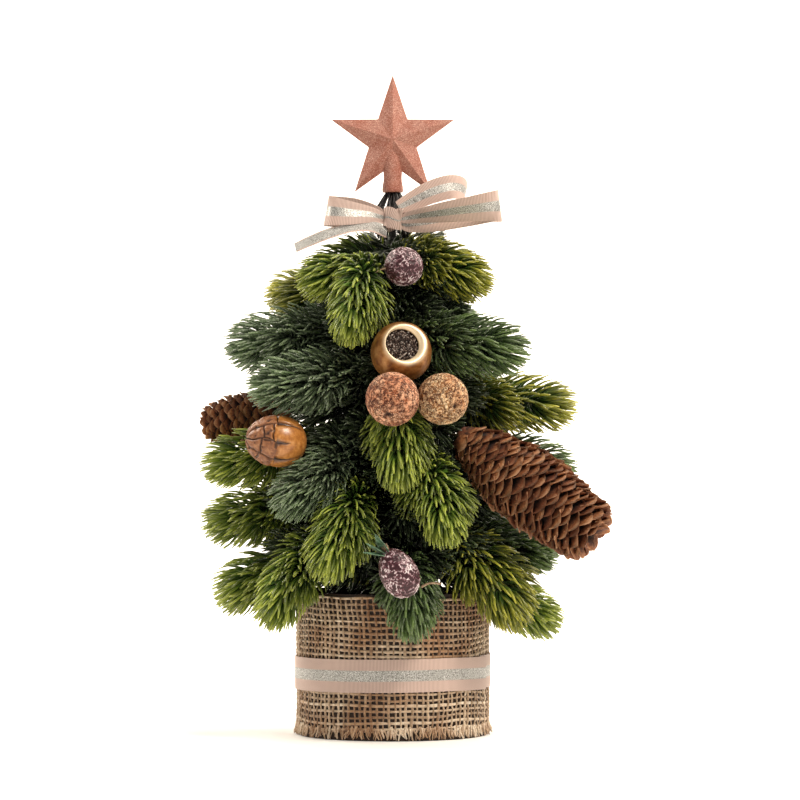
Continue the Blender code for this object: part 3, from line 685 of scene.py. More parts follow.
def sprig_needles(rng, stem, count, length, opening=(86, 74), head=0.4):
    """Needles round a stem (n, 3): golden-angle turns, wide open low on the stem and closing in
    towards its end, where the head's share of them fan out from the last of it and round it off.

    The head's needles are spread evenly over a cap of a sphere, so their angle to the stem has an
    evenly spaced cosine. Returns needle paths and the width direction of each.
    """
    order = (np.arange(count) + 0.5) / count
    body = np.clip(order / (1 - head), 0, 1)
    fan = np.clip((order - 1 + head) / head, 0, 1)
    place = (0.9 * body + 0.1 * fan) * (len(stem) - 1)
    low = np.minimum(place.astype(int), len(stem) - 2)
    part = (place - low)[:, None]
    roots = stem[low] * (1 - part) + stem[low + 1] * part
    ahead = tangents(stem)
    ways = unit(ahead[low] * (1 - part) + ahead[low + 1] * part)
    level = unit(np.cross(ways, UP) + 1e-6)
    upright = np.cross(level, ways)
    turn = np.arange(count) * GOLDEN_ANGLE + rng.uniform(-0.25, 0.25, count)
    out = unit(level * np.cos(turn)[:, None] + upright * np.sin(turn)[:, None])
    along_stem = np.radians(opening[0] + (opening[1] - opening[0]) * body)
    at_head = np.arccos(np.cos(np.radians(opening[1])) + (0.995 - np.cos(np.radians(opening[1]))) * fan)
    start = np.where(fan > 0, at_head, along_stem) + np.radians(rng.uniform(-7, 7, count))
    start = np.maximum(start, 0.04)
    bend = np.radians(rng.uniform(46, 76, count)) * np.clip(start / math.radians(opening[1]), 0.1, 1)
    lengths = length * (0.88 + 0.12 * body)
    paths = trim_to_egg(needle_paths(rng, roots, ways, out, start, bend, lengths), stem, length)
    wander = rng.uniform(0.93, 1.02, (count, 1, 1))
    return paths[:, :1] + (paths - paths[:, :1]) * wander, np.cross(ways, out)


def gather(batches):
    """Joins batches of (paths, widths, tint, outer) into one array each."""
    return [np.concatenate(column) for column in zip(*batches)]


def grow(rng, stem, count, length, outer, most_tint=1.0, **shape):
    """A batch of needles on a stem, without those that an ornament or the bow would meet."""
    paths, widths = sprig_needles(rng, stem, count, length, **shape)
    keep = clear_of_ornaments(paths)
    left = keep.sum()
    return paths[keep], widths[keep], rng.uniform(0, most_tint, left), np.full(left, outer)


def make_branch(name, finish, seed):
    """One branch: its taped wire, a main sprig where the CAD solid is, two side sprigs behind it
    and thin inner needles along the wire."""
    rng = np.random.default_rng(seed)
    sprig = Sprig(name)
    wire = sprig.wire(12)
    needle = sprig.radius * 1.85
    tip = sprig.start + sprig.way * (sprig.length - 0.9 * needle)
    route = curve_through(np.concatenate([wire[::3], [sprig.start, tip]]), 60)
    travelled = np.concatenate([[0], np.cumsum(np.linalg.norm(np.diff(route, axis=0), axis=1))])
    stations = np.linspace(max(travelled[-1] - 0.9 * sprig.length, 0), travelled[-1], 14)
    stem = np.stack([np.interp(stations, travelled, route[:, k]) for k in range(3)], -1)
    rods = [np.concatenate([wire[:-1], stem])]
    # outer values under 1 give these needles painted shade in the needle finish
    batches = [
        grow(rng, stem, MAIN_NEEDLES, needle, 1.0),
        grow(rng, wire[3:9], WIRE_NEEDLES, needle * 0.85, 0.2, opening=(66, 62), head=0.05),
    ]
    for side in (-1, 1):
        turn = side * rng.uniform(0.6, 0.85)
        way = sprig.way * math.cos(turn) + np.cross(UP, sprig.way) * math.sin(turn)
        way = unit(way - UP * rng.uniform(-0.15, 0.3))
        foot = wire[7] if side < 0 else wire[10]
        fork = foot + np.outer(np.linspace(0, 1, 7), way) * sprig.length * 0.42
        if not clear_when_bent(name, fork[None])[0]:
            fork = foot + np.outer(np.linspace(0, 1, 7), unit(way + 0.45 * UP)) * sprig.length * 0.42
        batches.append(grow(rng, fork, FORK_NEEDLES, needle * 0.9, 0.6))
        rods.append(fork)
    needles = gather(batches)
    keep = clear_when_bent(name, needles[0])
    needles = [column[keep] for column in needles]
    needle_piece(name.replace("branch", "sprig"), name, needles, rods, finish)


def needle_piece(piece, node, needles, rods, finish):
    """Needles and the stems that carry them as one piece. A needle is a flattened four-sided tube."""
    paths, widths, tint, outer = needles
    copies, rings = paths.shape[:2]
    radii = np.broadcast_to(NEEDLE_SHAPE * NEEDLE_WIDTH / 2, (copies, rings))
    points = tubes(paths, radii, 4, widths[:, None], NEEDLE_FLATNESS).reshape(-1, 3)
    blades = len(points)
    faces = loft_faces(copies, rings, 4)
    for rod in rods:
        faces += loft_faces(1, len(rod), 6, first=len(points))
        round_rod = tubes(rod[None], np.full((1, len(rod)), STEM_RADIUS), 6)
        points = np.concatenate([points, round_rod.reshape(-1, 3)])
    spare = len(points) - blades
    # outer sets how much painted shade the needle finish lays on, 1 for none; the stems get 0.2
    values = {
        "along": np.concatenate([np.tile(np.repeat(NEEDLE_STATIONS, 4), copies), np.zeros(spare)]),
        "tint": np.concatenate([np.repeat(tint, rings * 4), np.zeros(spare)]),
        "outer": np.concatenate([np.repeat(outer, rings * 4), np.full(spare, 0.2)]),
    }
    body = body_of_node[node] if node else "tree"
    surface(piece, points, faces, finish, body, "moulded_needles", node, **values)


BRANCH_FINISHES = {
    "crown_branch": [FRESH, TIPPED, TIPPED],
    "upper_branch": [FRESH, DEEP, FROSTED, TIPPED, DEEP],
    "middle_branch": [FROSTED, TIPPED, FROSTED, DEEP],
    "broad_branch": [FRESH, FROSTED, FRESH, FRESH, DEEP, DEEP],
    "lower_branch": [FRESH, FRESH, DEEP, DEEP, TIPPED],
    "skirt_branch": [FRESH, FRESH, DEEP, TIPPED, FRESH, TIPPED],
}


def make_branches():
    """Every branch of the CAD model, each in the finish of its place on the tree."""
    seed = 100
    for tier, finishes in BRANCH_FINISHES.items():
        for number, finish in enumerate(finishes, 1):
            make_branch(f"{tier}_{number}", finish, seed)
            seed += 1


def make_inner_sprigs():
    """Short sprigs close round the trunk, darkened by painted shade, which close the gaps between
    the branches.

    They climb by equal steps and turn by the golden angle, and reach less the higher they are.
    """
    rng = np.random.default_rng(7)
    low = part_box("pot_cup")[1][2] + 9 * MM
    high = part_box("bow_knot")[0][2] - 7 * MM
    for part in range(4):
        batches, stems = [], []
        for i in range(part, INNER_SPRIGS, 4):
            level = i / INNER_SPRIGS
            turn = i * GOLDEN_ANGLE
            out = np.array([math.sin(turn), -math.cos(turn), rng.uniform(-0.3, 0.1) * (i > 12)])
            foot = UP * (low + (high - low) * level) + out * 4 * MM
            stem = foot + np.outer(np.linspace(0, 1, 7), out) * 70 * MM * (1 - 0.68 * level**1.4)
            # an outer value of 0.15 gives the inner sprigs deep painted shade
            batches.append(grow(rng, stem, INNER_NEEDLES, (25 - 7 * level**3) * MM, 0.15, 0.8))
            stems.append(stem)
        needle_piece(f"inner_sprigs_{part + 1}", None, gather(batches), stems, DEEP)


# ---------------------------------------------------------------- cones


def make_cone(name, scales, scale_width, arc, openness, curl, seed):
    """A conifer cone: overlapping scales in a golden-angle spiral on a core painted near-black as
    painted shade.

    The cone's girth along its length is the sine of an arc. A scale starts on the core and runs
    towards the cone's end, coming out to the girth and, by its curl, a little past it. Its width
    wraps round the cone, its free edge is an arc with a slight wave, and the last scales are longer
    and stand open like petals.
    """
    rng = np.random.default_rng(seed)
    foot, end = node_axis(name)
    length = np.linalg.norm(end - foot)
    axes = axes_for(end - foot)
    radius, _ = breadth(name, foot, axes)
    level = 0.03 + 0.95 * (np.arange(scales) + rng.uniform(-1.5, 2.5, scales)) / scales
    girth = radius * np.sin(np.pi * (arc[0] + (arc[1] - arc[0]) * level))
    girth = girth * np.sqrt(1 - 0.93 * np.clip((level - 0.86) / 0.12, 0, 1) ** 2)
    turn = np.arange(scales) * GOLDEN_ANGLE + rng.uniform(-0.12, 0.12, scales)
    opened = openness * np.clip((level - 0.7) / 0.2, 0, 1) ** 2
    lift = 0.07 * scale_width * rng.uniform(-1, 1, scales) + opened
    v = np.linspace(0, 1, 7)[None, :, None]
    u = np.linspace(-1, 1, 9)[None, None, :]
    fine = scale_width / 20
    top = (girth + lift)[:, None, None]
    base = (girth * 0.62)[:, None, None]
    petal = 1 + 0.5 * np.clip((level - 0.84) / 0.08, 0, 1) * (openness > 0)
    reach = 0.8 * scale_width * (0.5 + 0.5 * girth / radius) * petal * rng.uniform(0.88, 1.12, scales)
    half = scale_width / 2 * (0.45 + 0.55 * girth / radius) * petal**0.5 * rng.uniform(0.88, 1.12, scales)
    reach, half = reach[:, None, None], half[:, None, None] * np.sin(np.pi * (0.22 + 0.32 * v))
    out = base + (top - base) * v**0.9 - 1.6 * fine * u**2 * v + curl * fine * v**3
    wavy = 0.6 * fine * np.sin(3.2 * u + rng.uniform(0, 6, scales)[:, None, None]) * v**2
    rise = (level * length)[:, None, None] + reach * (v - 0.5) - 0.42 * reach * v**3 * u**2
    angle = turn[:, None, None] + u * half / np.maximum(out, 0.25 * scale_width)
    thickness = 2.0 * fine * (1 - 0.4 * v) * (1 - 0.3 * u**2)
    both = [out + side * thickness / 2 + wavy for side in (1, -1)]
    upper, under = (np.stack([r * np.cos(angle), r * np.sin(angle), rise + 0 * angle], -1) for r in both)
    ring = np.concatenate([upper, under[:, :, ::-1]], 2)
    # along: near 0 at a scale's foot, painted near-black as shade under the scales above, up to 1 at its edge; the
    # bare first scales stay lighter
    bare = np.clip(1 - level / 0.1, 0, 0.9)[:, None, None]
    edge = v + (1 - v) * bare + 0 * u
    along = np.concatenate([edge, 0.2 + edge * 0.6], 2)
    tint = np.broadcast_to(rng.uniform(0, 1, scales)[:, None, None], along.shape)
    core_level = np.linspace(0.01, 0.95, 16)
    core_radius = radius * np.sin(np.pi * (arc[0] + (arc[1] - arc[0]) * core_level)) * 0.68
    core_radius[:2] *= [0.25, 0.75]
    core_radius[-3:] *= [0.9, 0.6, 0.2]
    spine = np.stack([0 * core_level, 0 * core_level, core_level * length], -1)
    core = tubes(spine[None], core_radius[None], 16, across=np.broadcast_to([1.0, 0, 0], (1, 16, 3)))
    copies, rings, sides = ring.shape[:3]
    local = np.concatenate([ring.reshape(-1, 3), core.reshape(-1, 3)])
    faces = loft_faces(copies, rings, sides) + loft_faces(1, 16, 16, first=copies * rings * sides)
    # the core's along of 0.05 paints it near-black: painted shade
    values = {
        "along": np.concatenate([along.ravel(), np.full(256, 0.05)]),
        "tint": np.concatenate([tint.ravel(), np.full(256, 0.1)]),
    }
    made = surface(f"{name}_scales", local @ axes + foot, faces, SCALE, "tree", "dried_cone", name, **values)
    made.data.set_sharp_from_angle(angle=math.radians(50))


# ---------------------------------------------------------------- pods, nuts and berries


def make_cork_ball(name, finish, dimple, squash, seed):
    """A dried fruit with a corky skin: a sphere, wrinkled by ridged noise, with a sunken eye painted
    near-black as painted shade.
    """
    middle, half = node_middle(name)
    ways = ball_grid(160, 220)
    radius = half.mean()
    bent = ways * radius + 0.6 * MM * lattice_noise(ways * radius, 1.1 * MM, seed + 7)[..., None]
    wrinkle = crease_map(bent, 2.3 * MM, 0.25, seed) * 0.6 + crease_map(bent, 1.3 * MM, 0.25, seed + 1) * 0.4
    eye = unit(np.array(dimple))
    apart = np.arccos(np.clip(ways @ eye, -1, 1))
    ragged = 1 + 0.35 * lattice_noise(ways * radius, 1.2 * MM, seed + 2)
    pit = np.exp(-((apart * ragged / 0.12) ** 4))
    swell = 1 + 0.012 * lattice_noise(ways, 0.9, seed + 3)
    # wrinkle and pit sink the mesh here and, in the cork finish, paint these recesses dark as painted shade
    depth = 0.8 * MM * (1 - wrinkle) + 1.8 * MM * pit
    points = middle + ways * (half * np.array(squash) * swell[..., None]) - ways * depth[..., None]
    skin(f"{name}_skin", points, finish, "tree", "cork_skin", name, pit=pit * 0.9, wrinkle=wrinkle)


def make_gold_pod():
    """The gilded pod: a round cup with the seeds packed in its mouth. The mouth's hole lies off to
    the left of its rim, so the lip is thin at the left and broad and sloping at the right."""
    middle = node_middle("gold_pod")[0]
    ahead = unit(node_points("gold_pod_seeds")[0].mean(0) - middle)
    axes = axes_for(ahead)
    radius, height = breadth("gold_pod", middle, axes)
    place = middle + ahead * ((height.max() + height.min()) / 2)
    mouth = radius * 0.69
    hole = mouth * 0.8
    aside = np.array([-0.13, 0.02]) * mouth
    rim = math.sqrt(radius**2 - mouth**2)
    back = np.linspace(math.pi - 0.03, math.asin(mouth / radius) + 0.06, 40)
    outer = np.stack([radius * np.sin(back), radius * np.cos(back)], -1)
    share = np.linspace(0, 1, 8)
    lip_height = rim + (0.7 * np.sin(np.pi * share) - 1.8 * share) * MM
    lip = np.stack([mouth + (hole - mouth) * share, lip_height], -1)
    inside = np.stack([np.full(5, hole), rim - np.linspace(2.1, 4.4, 5) * MM], -1)
    profile = np.concatenate([outer, lip, inside, [[0.2 * MM, rim - 4.5 * MM]]])
    shift = np.concatenate([np.zeros((40, 2)), share[:, None] * aside, np.tile(aside, (6, 1))])
    pale = np.concatenate([np.zeros(38), [0.1, 0.4], np.full(8, 0.95), [0.5], np.zeros(5)])
    # painted shade: the points inside the mouth, under the seeds, get the near-black inside colour
    dark = np.concatenate([np.zeros(48), [0.2, 0.6, 1, 1, 1, 1]])
    sides = 72
    turn = 2 * np.pi * np.arange(sides) / sides
    r, z = profile.T[..., None] * np.ones(sides)
    local = np.stack([r * np.cos(turn), r * np.sin(turn), z], -1)
    local[..., :2] *= (1 + 0.018 * lattice_noise(local, 9 * MM, 4))[..., None]
    local[..., :2] += shift[:, None]
    values = {"lip": np.repeat(pale, sides), "inside": np.repeat(dark, sides)}
    skin("gold_pod_shell", local, GILT, "tree", "gilded_pod", "gold_pod", place, axes, **values)
    rng = np.random.default_rng(21)
    count = 420
    order = np.arange(count) + 0.5
    reach = (hole - 0.5 * MM) * np.sqrt(order / count)
    turn = order * GOLDEN_ANGLE
    rise = rim - 3.2 * MM + rng.uniform(-0.6, 0.6, count) * MM
    foot = np.stack([reach * np.cos(turn) + aside[0], reach * np.sin(turn) + aside[1], rise - 1.2 * MM], -1)
    lean = rng.normal(0, 0.35, (count, 3)) * [1, 1, 0] + [0, 0, 1]
    path = foot[:, None] + unit(lean)[:, None] * (np.linspace(0, 1, 5)[None, :, None] * 1.9 * MM)
    size = np.array([0.5, 0.78, 0.8, 0.55, 0.12]) * MM * 0.62 * rng.uniform(0.8, 1.15, (count, 1))
    world = path @ axes + place
    across = np.broadcast_to(axes[0], world.shape)
    tint = rng.uniform(0, 1, count) ** 1.3
    tube_piece(
        "gold_pod_grains", world, size, 5, SEED, "tree", "pod_seeds", across, tint=tint, node="gold_pod_seeds"
    )


def make_nut():
    """The dried nut: an egg with cracked plates over its outer end and a smooth glossy inner end.

    Cracks run along eight wandering meridians and round two rings whose height steps from plate to
    plate. Past the plates each meridian goes on as a wedge that narrows into the smooth part. A
    crack's depth falls off as a bell from its line.
    """
    inner_end, outer_end = node_axis("nut_pod")
    middle = (inner_end + outer_end) / 2
    axes = axes_for(outer_end - inner_end)
    length = np.linalg.norm(outer_end - inner_end) / 2
    radius, _ = breadth("nut_pod", middle, axes)
    ways = ball_grid(150, 190)
    height = ways[..., 2]
    wander = 0.16 * lattice_noise(ways, 0.5, 3)
    plates = 8
    place = (np.arctan2(ways[..., 1], ways[..., 0]) + wander) / (2 * np.pi) * plates
    number = np.round(place) % plates
    girth = np.maximum(np.hypot(ways[..., 0], ways[..., 1]), 0.05)
    to_meridian = np.abs(place - np.round(place)) * 2 * np.pi / plates * girth
    hem = 0.1
    reach = 0.5 + 0.5 * np.abs(np.sin(number * 1.9))
    below = np.clip((hem - height) / reach, 0, 1)
    wide = np.where(height > hem, 0.03, 0.03 + 0.13 * (1 - below) ** 2 * (below > 0))
    crack = np.exp(-((to_meridian / wide) ** 2)) * np.clip((1 - below) * 4, 0, 1)
    sector = np.floor(place) % plates
    for ring_height, step in ((0.58, 0.06), (hem, 0.13)):
        line = ring_height + step * np.sin(sector * 2.4 + ring_height * 9)
        line = line + 0.05 * lattice_noise(ways, 0.25, 8)
        part = 0.15 + 0.85 * (np.sin(sector * 1.7 + ring_height * 5) > 0)
        crack = np.maximum(crack, part * np.exp(-(((height - line) / 0.028) ** 2)))
    plate = np.clip((height - line) / 0.1, 0, 1)
    pits = np.clip((lattice_noise(ways * radius, 2.2 * MM, 15) - 0.5) / 0.2, 0, 1) * plate
    crack = np.maximum(crack, 0.8 * pits)
    rough = 0.35 * MM * lattice_noise(ways * radius, 2.5 * MM, 5) * plate
    rough = rough + 0.5 * MM * plate * np.clip(to_meridian / 0.2, 0, 1)
    egg = 1 - 0.08 * height
    size = np.stack([egg * radius, egg * radius, 0 * egg + length], -1)
    spot = ways * size - ways * (1.5 * MM * crack)[..., None] + ways * rough[..., None]
    # crack sinks the mesh and, in the nut finish, paints the cracks and pits dark as painted shade
    values = {"plate": plate, "crack": np.clip(crack * 1.1, 0, 1)}
    skin("nut_pod_shell", spot, NUT, "tree", "dried_nut", "nut_pod", middle, axes, **values)


def make_berry(name, taper, grain, seed):
    """A frosted berry: an egg raised in fine worm-like wrinkles, a grain apart, that hold the frost."""
    middle = node_middle(name)[0]
    low_end, high_end = sorted(node_axis(name), key=lambda end: end[2])
    axes = axes_for(high_end - low_end)
    length = np.linalg.norm(high_end - low_end) / 2
    radius, _ = breadth(name, middle, axes)
    ways = ball_grid(120, 150)
    spread = ways * radius * [1, 1, 1.7]
    ridge = ridges(spread, grain, seed) * 0.65 + ridges(spread, grain / 2, seed + 1) * 0.35
    fade = np.clip((1 - np.abs(ways[..., 2])) / 0.08, 0.2, 1)
    egg = 1 - taper * ways[..., 2]
    size = np.stack([egg * radius, egg * radius, 0 * egg + length], -1)
    spot = ways * size * 0.985 + ways * (0.9 * MM * (ridge - 0.6) * fade)[..., None]
    skin(f"{name}_skin", spot, FROST, "tree", "frosted_berry", name, middle, axes, ridge=ridge)
    return middle, axes, radius, length


def make_berries():
    """The two frosted berries, the round one's thorn, and the long one's crown, stalk and leaves."""
    middle, _, radius, _ = make_berry("frosted_berry", 0.05, 2.0 * MM, 31)
    thorn_way = unit(np.array([-0.93, -0.3, -0.12]))
    thorn = middle + thorn_way * (radius * 0.9) + np.outer(np.linspace(0, 1, 7), thorn_way) * 8 * MM
    thorn[:, 2] -= np.linspace(0, 1, 7) ** 2 * 2 * MM
    size = np.linspace(0.9, 0.15, 7) * MM
    tube_piece("berry_thorn", thorn[None], size[None], 7, TWIG, "tree", "frosted_berry")
    middle, axes, radius, length = make_berry("frosted_cone_berry", 0.1, 2.1 * MM, 41)
    top = middle + axes[2] * length * 0.94
    rng = np.random.default_rng(5)
    count = 16
    turn = np.arange(count) * GOLDEN_ANGLE
    out = (axes[0][None] * np.cos(turn)[:, None] + axes[1][None] * np.sin(turn)[:, None]) * 0.45 + axes[2]
    reach = rng.uniform(4.5, 7, count) * MM
    share = np.linspace(0, 1, 6)
    bracts = top + unit(out)[:, None] * (share[None, :, None] * reach[:, None, None])
    bracts = bracts - axes[2] * 1.5 * MM
    size = np.array([1.0, 1.2, 1.1, 0.8, 0.5, 0.1]) * MM
    tint = rng.uniform(0, 1, count)
    tube_piece("berry_crown", bracts, size[None], 6, TWIG, "tree", "frosted_berry", tint=tint)
    tail = middle - axes[2] * length * 0.72 + np.array([9, -3, 2]) * MM
    share = np.linspace(0, 1, 12)[:, None]
    curl = tail + share * np.array([13, -4, -1]) * MM + np.sin(share * 3.0) * np.array([0, 0, 3]) * MM
    curl[:, 2] += (share[:, 0] ** 4) * 3 * MM
    size = np.concatenate([np.linspace(0.8, 0.6, 10), [0.9, 0.5]]) * MM
    tube_piece("berry_stalk", curl[None], size[None], 7, TWIG, "tree", "frosted_berry")
    for number, (lean, turn_out) in enumerate(((-1.0, 0.3), (-0.9, 0.7), (-0.45, 1.0)), 1):
        way = unit(np.array([lean, -0.35, turn_out]))
        make_leaf(f"berry_leaf_{number}", top - axes[2] * 3 * MM, way, 18 * MM, 4.6 * MM)


def make_leaf(name, foot, way, length, half_width):
    """A small pointed leaf: widest a third of the way along, folded along its midrib and arched."""
    axes = axes_for(way)
    share = np.linspace(0, 1, 12)[:, None]
    across = np.linspace(-1, 1, 7)[None, :]
    half = half_width * np.sin(np.pi * share**0.75) ** 0.9 + 0.1 * MM
    side = across * half
    lift = -0.35 * np.abs(side) - 3 * MM * share**2
    top = np.stack([side, lift, share * length + 0 * side], -1)
    under = top - np.array([0, 0.35 * MM, 0])
    ring = np.concatenate([top, under[:, ::-1]], 1)[:, ::-1]
    skin(name, ring, LEAF, "tree", "moulded_needles", None, foot, axes)


# ---------------------------------------------------------------- star and stems


def make_star():
    """The star: each half a ten-sided faceted cone, its ridges softened by a small bevel."""
    low, high = np.array(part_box("star_front"))
    middle = np.array([(low[0] + high[0]) / 2, 0, 0])
    top = high[2]
    reach = (high[0] - low[0]) / 2 / math.sin(math.radians(72))
    centre = np.array([middle[0], 0.0, top - reach])
    radius = reach + 1.2 * MM  # the bevel takes this much off a tip
    inner = reach * 0.4
    depth = -low[1]
    edge = 0.8 * MM
    for name, side in (("star_front", -1), ("star_back", 1)):
        turn = np.arange(10) * np.pi / 5
        size = np.where(np.arange(10) % 2 == 0, radius, inner)
        rim = np.stack([size * np.sin(turn), 0 * turn, size * np.cos(turn)], -1)
        back = rim + [0, side * 0.05 * MM, 0]
        front = rim + [0, side * edge, 0]
        peak = np.array([[0, side * depth, 0]])
        points = np.concatenate([back, front, peak]) + centre
        ring = np.arange(10)
        after = (ring + 1) % 10
        walls = np.stack([ring, after, after + 10, ring + 10], -1)
        facets = np.stack([ring + 10, after + 10, np.full(10, 20)], -1)
        floor = ring[::-1][None]
        faces = [walls, facets, floor]
        if side < 0:
            faces = [rows[:, ::-1] for rows in faces]
        made = surface(f"{name}_shell", points, faces, GLITTER, "star", "copper_glitter", name)
        bevel = made.modifiers.new("softened ridges", "BEVEL")
        bevel.width = 0.38 * MM
        bevel.segments = 3
        bevel.limit_method = "ANGLE"
        bevel.angle_limit = math.radians(8)
        made.data.set_sharp_from_angle(angle=math.radians(8))
        bevel.harden_normals = False


def make_socket():
    """The star's socket: a tapered tube with a swollen mouth, running up into the star."""
    low, high = np.array(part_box("star_socket"))
    centre = np.array([(low[0] + high[0]) / 2, (low[1] + high[1]) / 2, low[2]])
    radius = (high[0] - low[0]) / 2
    tall = high[2] - low[2]
    share = np.linspace(0, 1, 26)
    swell = radius * (1 - 0.36 * share - 0.12 * np.exp(-((share - 0.22) / 0.09) ** 2) * 0.6)
    swell[share > 0.86] *= np.sqrt(np.maximum(1 - ((share[share > 0.86] - 0.86) / 0.145) ** 2, 0.02))
    swell[0] = radius * 0.93
    outer = np.stack([swell, share * tall], -1)
    bore_radius = np.array([0.1 * MM, radius * 0.74, radius * 0.78, radius * 0.86])
    bore = np.stack([bore_radius, np.array([14, 14, 0.6, 0]) * MM], -1)
    profile = np.concatenate([bore, outer])
    turn = 2 * np.pi * np.arange(48) / 48
    local = np.stack(
        [profile[:, :1] * np.cos(turn), profile[:, :1] * np.sin(turn), profile[:, 1:] + 0 * turn], -1
    )
    skin("star_socket_tube", local, GLITTER, "star", "copper_glitter", "star_socket", centre)


def make_top_stems():
    """Thin black stems that leave the socket together, fan out and bow down under the ribbon."""
    rng = np.random.default_rng(12)
    low, high = np.array(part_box("top_stem_bundle"))
    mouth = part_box("star_socket")[0][2]
    count = 32
    turn = np.arange(count) * GOLDEN_ANGLE
    gathered = 4.8 * MM * np.sqrt((np.arange(count) + 2) / (count + 2))
    out = np.stack([np.sin(turn), -np.cos(turn), 0 * turn], -1)
    share = np.linspace(0, 1, 10)[None, :, None]
    splay = rng.uniform(0.5, 1.0, (count, 1, 1)) ** 0.6 * (high[0] - gathered[:, None, None])
    fall = rng.uniform(0.8, 1.0, (count, 1, 1)) * (mouth - low[2])
    path = out[:, None] * (gathered[:, None, None] + splay * np.clip((share - 0.2) / 0.3, 0, 1))
    path = path + UP * (mouth + 9 * MM - (fall + 9 * MM) * share**0.9)
    size = rng.uniform(0.55, 0.85, (count, 1)) * MM
    across = np.broadcast_to(out[:, None], path.shape)
    tube_piece(
        "top_stems", path, size, 6, STEM, "tree", "black_stems", across, flat=0.7, node="top_stem_bundle"
    )


# ---------------------------------------------------------------- ribbon


RIB = 0.95 * MM


def ribbon(name, node, centre, across, width, thickness, stripe=1.0):
    """A ribbon along a centre line (n, 3): a solid strip, its width along across (n, 3), raised in
    ribs square to its length whose height is half the cosine of the distance along.

    A stripe under 1 widens the silver stripe. Returns the piece, its length and its mean width.
    """
    steps = np.linalg.norm(np.diff(centre, axis=0), axis=1)
    travelled = np.concatenate([[0], np.cumsum(steps)])
    count = max(int(travelled[-1] / RIB * 4), 24)
    even = np.linspace(0, travelled[-1], count)
    path = np.stack([np.interp(even, travelled, centre[:, k]) for k in range(3)], -1)
    wide = unit(np.stack([np.interp(even, travelled, across[:, k]) for k in range(3)], -1))
    half = np.interp(even, travelled, width) / 2
    ahead = tangents(path[None])[0]
    wide = unit(wide - ahead * np.sum(wide * ahead, -1, keepdims=True))
    face = np.cross(ahead, wide)
    rib = 0.5 + 0.5 * np.cos(2 * np.pi * even / RIB)
    u = np.linspace(-1, 1, 13)
    edge = 1 - 0.6 * np.abs(u) ** 12
    spot = path[:, None] + wide[:, None] * (half[:, None] * u)[..., None]
    raised = (thickness / 2 + 0.1 * MM * rib)[:, None] * edge
    upper = spot + face[:, None] * raised[..., None]
    lower = spot - face[:, None] * raised[..., None]
    ring = np.concatenate([upper, lower[:, ::-1]], 1)[:, ::-1]
    both = np.broadcast_to(np.concatenate([u, u[::-1]])[::-1], ring.shape[:2])
    # rib also drives the grosgrain's painted shade in the troughs and painted highlight on the crests
    values = {"across": both * stripe, "rib": np.broadcast_to(rib[:, None], ring.shape[:2])}
    made = skin(name, ring, GROSGRAIN, "tree", "grosgrain_ribbon", node, **values)
    made.data.set_sharp_from_angle(angle=math.radians(60))
    return made, travelled[-1], 2 * half.mean()


def curve_through(points, count):
    """A smooth curve through a few points: a Catmull-Rom spline, whose cubic between two points is
    steered by the two points beyond them."""
    points = np.asarray(points, float)
    padded = np.concatenate([[2 * points[0] - points[1]], points, [2 * points[-1] - points[-2]]])
    place = np.linspace(0, len(points) - 1, count)
    low = np.minimum(place.astype(int), len(points) - 2)
    t = (place - low)[:, None]
    a, b, c, d = (padded[low + k] for k in range(4))
    return 0.5 * (2 * b + (c - a) * t + (2 * a - 5 * b + 4 * c - d) * t**2 + (3 * b - a - 3 * c + d) * t**3)


BOW_THICKNESS = 0.45 * MM

# Each piece of the bow, from the knot outwards, and how wide its stripe is drawn. A station is the
# place from the knot's middle and the ribbon's width there, in mm, and the way the width runs. A
# loop goes out along the front, round the end and back behind.
BOW = {
    "bow_loop_left": (
        [
            ((-6, 0, 1), 7, (0, 0, 1)),
            ((-16, -4, 3), 12, (0, 0.3, 1)),
            ((-30, -7, 4), 18, (0.1, 0.4, 1)),
            ((-41, -6, 5), 21, (0.18, 0.35, 1)),
            ((-45, 0, 5.5), 21, (0.18, 0.1, 1)),
            ((-41, 6, 5.5), 21, (0.1, 0, 1)),
            ((-26, 6, 5), 19, (0, 0, 1)),
            ((-12, 3, 3), 13, (0, 0, 1)),
            ((-6, 1, 1), 7, (0, 0, 1)),
        ],
        1.0,
    ),
    "bow_loop_right": (
        [
            ((6, 0, 0), 6, (0, 0, 1)),
            ((18, -4, 2), 11, (0, -0.6, 1)),
            ((36, -7, 4.5), 17, (-0.05, -0.75, 1)),
            ((56, -8, 7), 21, (-0.1, -0.75, 1)),
            ((68, -6, 8.5), 22, (-0.14, -0.5, 1)),
            ((73, 0, 9), 22, (-0.14, 0, 1)),
            ((69, 6, 9), 21, (-0.1, 0, 1)),
            ((50, 7, 5), 20, (0, 0, 1)),
            ((28, 5, 0), 17, (0, 0, 1)),
            ((12, 2, -3), 12, (0, 0, 1)),
            ((6, 1, -3), 7, (0, 0, 1)),
        ],
        1.0,
    ),
    "bow_tail_left": (
        [
            ((-4, -2, -8), 10, (0, 0.2, 1)),
            ((-14, -8, -5.5), 12, (0.1, 1.0, 0.8)),
            ((-27, -11, -6), 12, (-0.1, 1.2, 0.8)),
            ((-42, -13, -10), 11, (-0.25, 1.0, 0.9)),
            ((-56, -13, -15.5), 9.5, (-0.3, 0.9, 1)),
            ((-66, -11, -20), 8, (-0.3, 0.8, 1)),
        ],
        0.42,
    ),
    "bow_tail_right": (
        [
            ((4, 4, 8), 9, (-0.4, 0, 1)),
            ((14, 7, 13), 13, (-0.5, 0, 1)),
            ((27, 9, 19), 16, (-0.4, 0.1, 1)),
            ((39, 12, 22.5), 17, (-0.2, 0.2, 1)),
            ((47, 18, 22), 17, (0.1, 0.35, 1)),
            ((50, 25, 19), 16, (0.2, 0.5, 1)),
            ((48, 30, 15), 15, (0.3, 0.6, 1)),
        ],
        1.0,
    ),
}


